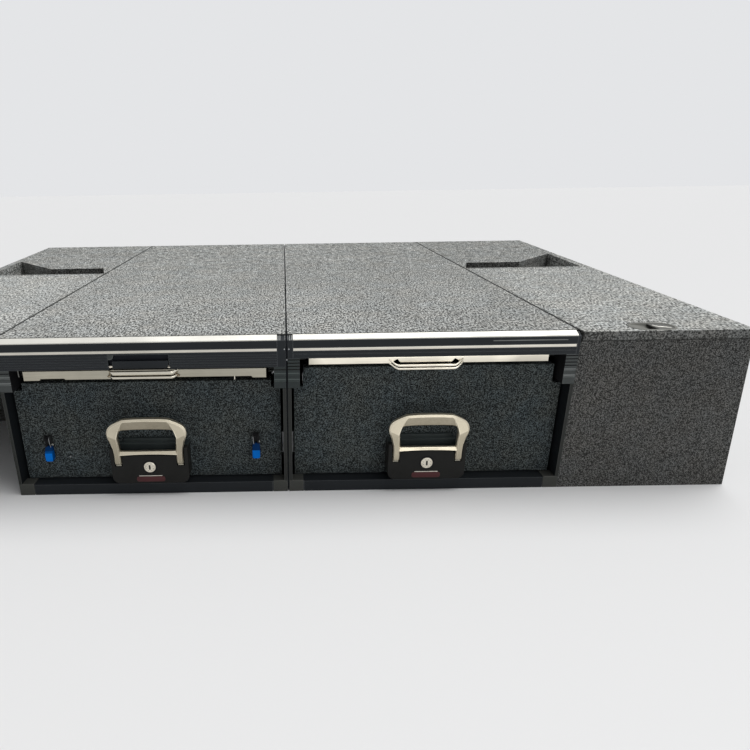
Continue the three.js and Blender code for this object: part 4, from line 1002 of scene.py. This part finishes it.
# (inset, z) up the cup's outside and over its rim, then (inset, share of the depth) over its floor
CUP_SIDE = ((0.6, 270), (0, 270.6), (0, 281.9), (-1.3, 282.05), (-1.4, 282.4), (-0.8, 282.8), (0.6, 283.0),
            (2.0, 282.9), (2.8, 282.4), (3.1, 281.8))
CUP_FLOOR = ((3.4, 0.5), (4.6, 0.9), (8, 1.0), (12, 1.0), (16, 1.0), (20, 1.0))
# (inset, shift to the back, z) of a dark ring round the rim that stands for its shadow, most of it at the
# back.
SHADOW_RING = ((-0.4, 1.5, 281.2), (-2.2, 1.5, 281.9), (-2.2, 1.5, 282.15), (-1.4, 1.2, 282.3))
PADDLE_PLATE = ((3.7, 2.4, 279.6), (3.3, 2.0, 280.2), (3.3, 2.0, 281.4), (3.6, 2.5, 281.9),
                (4.2, 3.4, 282.0))
PADDLE_RIB = ((3.6, 31), (4.6, 26), (8, 22), (13, 20.4), (18, 18.4), (21.5, 15), (23, 11.4))


def stadium(inset_by, side, start=None):
    """An outline with two round ends, or with a straight one at start."""
    radius = LATCH_RADIUS - inset_by
    centre = LATCH_HALF - LATCH_RADIUS
    points = arc((centre, 0), radius, -90, 90, 14)
    if start is None:
        points += arc((-centre, 0), radius, 90, 270, 14)
    else:
        points += [(start, radius), (start, -radius)]
    placed = [(side * (LATCH_MIDDLE + x), LATCH_Y + y) for x, y in points]
    return placed if side > 0 else placed[::-1]


def dish_depth(u):
    """Falls towards the paddle's free edge, where a finger goes under, and again under its far end, which
    dips as the paddle lifts."""
    share = min(max((u - LATCH_MIDDLE + LATCH_HALF - 3) / LATCH_HALF, 0), 1)
    beyond = min(max((u - LATCH_MIDDLE - 8) / 9, 0), 1)
    return 0.8 + 5.6 * share * share + 3.4 * beyond


def latch(label, side):
    lid = f"lid_{label}"
    cup = [[(x, y, z) for x, y in stadium(step, side)] for step, z in CUP_SIDE]
    for step, share in CUP_FLOOR:
        cup.append([(x, y, DISH_TOP - share * dish_depth(abs(x))) for x, y in stadium(step, side)])
    piece(f"latch_cup_{label}_shell", loft(cup), lid, "grey_plastic", None, (f"latch_cup_{label}",), sharp=40)
    # A dark ring round the cup: painted shadow.
    shadow_ring = [[(x, y + shift, z) for x, y in stadium(step, side)] for step, shift, z in SHADOW_RING]
    piece(f"latch_shadow_ring_{label}", loft(shadow_ring, True), lid, "dark", "black_plastic")
    part = piecer(f"latch_paddle_{label}_", f"flush_latch_{label}", "bright_trim", f"latch_paddle_{label}")
    rings = [[(x, y, z) for x, y in stadium(step, side, start)] for step, start, z in PADDLE_PLATE]
    part("plate", loft(rings), "latch_metal", sharp=30)
    rib = [(side * (LATCH_MIDDLE + x), y, 281.9) for x, y in PADDLE_RIB]
    part("rib", tube(rib, 1.5, 12), "bright_trim", sharp=60)
    pin = side * (LATCH_MIDDLE + LATCH_HALF - 14)
    part("pin", tube([(pin, 6.4, 281), (pin, 44.6, 281)], 0.85, 12), "nickel")


for label, side in SIDES.items():
    latch(label, side)


# Lock paddle: thin plate with a rounded lip on bright pins; its slot's backing and the cheek beside it

PIN_Y, PIN_Z = 3.5, 234.4
PADDLE_PINS = (((-192.0, -188.3), 1.25), ((-281.0, -289.7), 1.25), ((-282.4, -287.6), 2.1))

profile = [(1.2, 231.4), (5.8, 231.4), (6.0, 232), (6.0, 243.4), (5.4, 244.0), (1.8, 244.0), (1.2, 243.2),
           (1.0, 241.6), (1.0, 233.0)]
part = piecer("lock_paddle_", "lock_paddle", "graphite_alloy", "lock_paddle")
part("plate", along_x(profile, -191.4, -281.8), "graphite_alloy", bevel=0.25)
backing = [(8.6, 231.6), (7.4, 233.0), (7.4, 253.6), (8.6, 254.6), (11.4, 254.6), (11.4, 231.6)]
piece("lock_backing", along_x(backing, -190.3, -287.7), "frame", "slot_backing", "graphite_alloy", bevel=0.3)
cheek = [(-287.8, 254.7), (-279.2, 254.7), (-280.2, 250.6), (-281.6, 248.4), (-284.0, 247.4), (-287.8, 247.2)]
piece("lock_cheek", plate(cheek, 8.6, 0.9, 0.5), "frame", "block_plastic", "graphite_alloy")
pins = [tube([(x, PIN_Y, PIN_Z) for x in pair], radius, 14) for pair, radius in PADDLE_PINS]
bent = ((-191.9, 2.4), (-191.7, -1.4), (-190.8, -2.1), (-188.0, -2.2))
pins.append(tube([(x, y, 234.0) for x, y in bent], 1.1, 14))
part("pins", merged(*pins), "nickel")


# Drawer boxes: rolled rims, and screws that hold the fronts

BOX_TOP = {"left": 186.0, "right": 206.5}
BOX_FRONT, BOX_BACK, BOX_INNER, BOX_OUTER = 38.1, 1086.5, 26.8, 444.7
BOX_CORNER = 3

for label, side in SIDES.items():
    outline = rounded_box(BOX_INNER, BOX_OUTER, BOX_FRONT, BOX_BACK, BOX_CORNER, 4)
    path = [(side * x, y, BOX_TOP[label] - 1.1) for x, y in outline]
    piece(f"box_rim_{label}", tube(path, 1.2, 10, True), f"drawer_{label}", "zinc_steel", sharp=60)
    heads = [screw(side * x, 38.9, z, 3, 1.4, 1) for x in (60, 148, 325, 412) for z in (40, 150)]
    piece(f"front_screws_{label}", merged(*heads), f"drawer_{label}", "nickel", "zinc_steel")


# Floor and light

WORLD_LIGHT, WORLD_SEEN = 0.28, 0.80  # strength on the object, and as the camera and reflections show it
SUN_TOWARDS, SUN_STRENGTH, SUN_SPREAD = (0.30, 0.10, 1.0), 2.3, 45
FILL_PLACE, FILL_TARGET, FILL_SIZE, FILL_POWER = (1.3, -3.0, 0.95), (0.1, -0.6, 0.2), (2.0, 1.2), 12


def make_floor(reach):
    mesh = bpy.data.meshes.new("floor")
    corners = [(-reach, -reach, 0), (reach, -reach, 0), (reach, reach, 0), (-reach, reach, 0)]
    mesh.from_pydata(corners, [], [(0, 1, 2, 3)])
    mesh.materials.append(Look("floor", Roughness=0.9, Base_Color=paint(0.80)).material)
    floor = add("floor", mesh)


def make_lights():
    sun = bpy.data.lights.new("key", "SUN")
    sun.energy, sun.angle = SUN_STRENGTH, math.radians(SUN_SPREAD)
    add("key", sun).rotation_euler = Vector(SUN_TOWARDS).to_track_quat("Z", "Y").to_euler()
    fill = bpy.data.lights.new("front_fill", "AREA")
    fill.shape, fill.energy = "RECTANGLE", FILL_POWER
    fill.size, fill.size_y = FILL_SIZE
    light = add("front_fill", fill)
    light.location = FILL_PLACE
    light.rotation_euler = (Vector(FILL_TARGET) - Vector(FILL_PLACE)).to_track_quat("-Z", "Y").to_euler()


def make_world():
    world = bpy.data.worlds.new("world")
    bpy.context.scene.world = world
    world.use_nodes = True
    tree = world.node_tree
    background = tree.nodes["Background"]
    rays = tree.nodes.new("ShaderNodeLightPath")
    seen = tree.nodes.new("ShaderNodeMath")
    seen.operation = "MAXIMUM"
    tree.links.new(rays.outputs["Is Camera Ray"], seen.inputs[0])
    tree.links.new(rays.outputs["Is Glossy Ray"], seen.inputs[1])
    strength = tree.nodes.new("ShaderNodeMapRange")
    strength.inputs["To Min"].default_value = WORLD_LIGHT
    strength.inputs["To Max"].default_value = WORLD_SEEN
    tree.links.new(seen.outputs[0], strength.inputs["Value"])
    background.inputs["Color"].default_value = (0.97, 0.98, 1.0, 1)
    tree.links.new(strength.outputs[0], background.inputs["Strength"])


make_floor(reach=14)
make_world()
make_lights()
bpy.context.scene.view_settings.view_transform = "Standard"
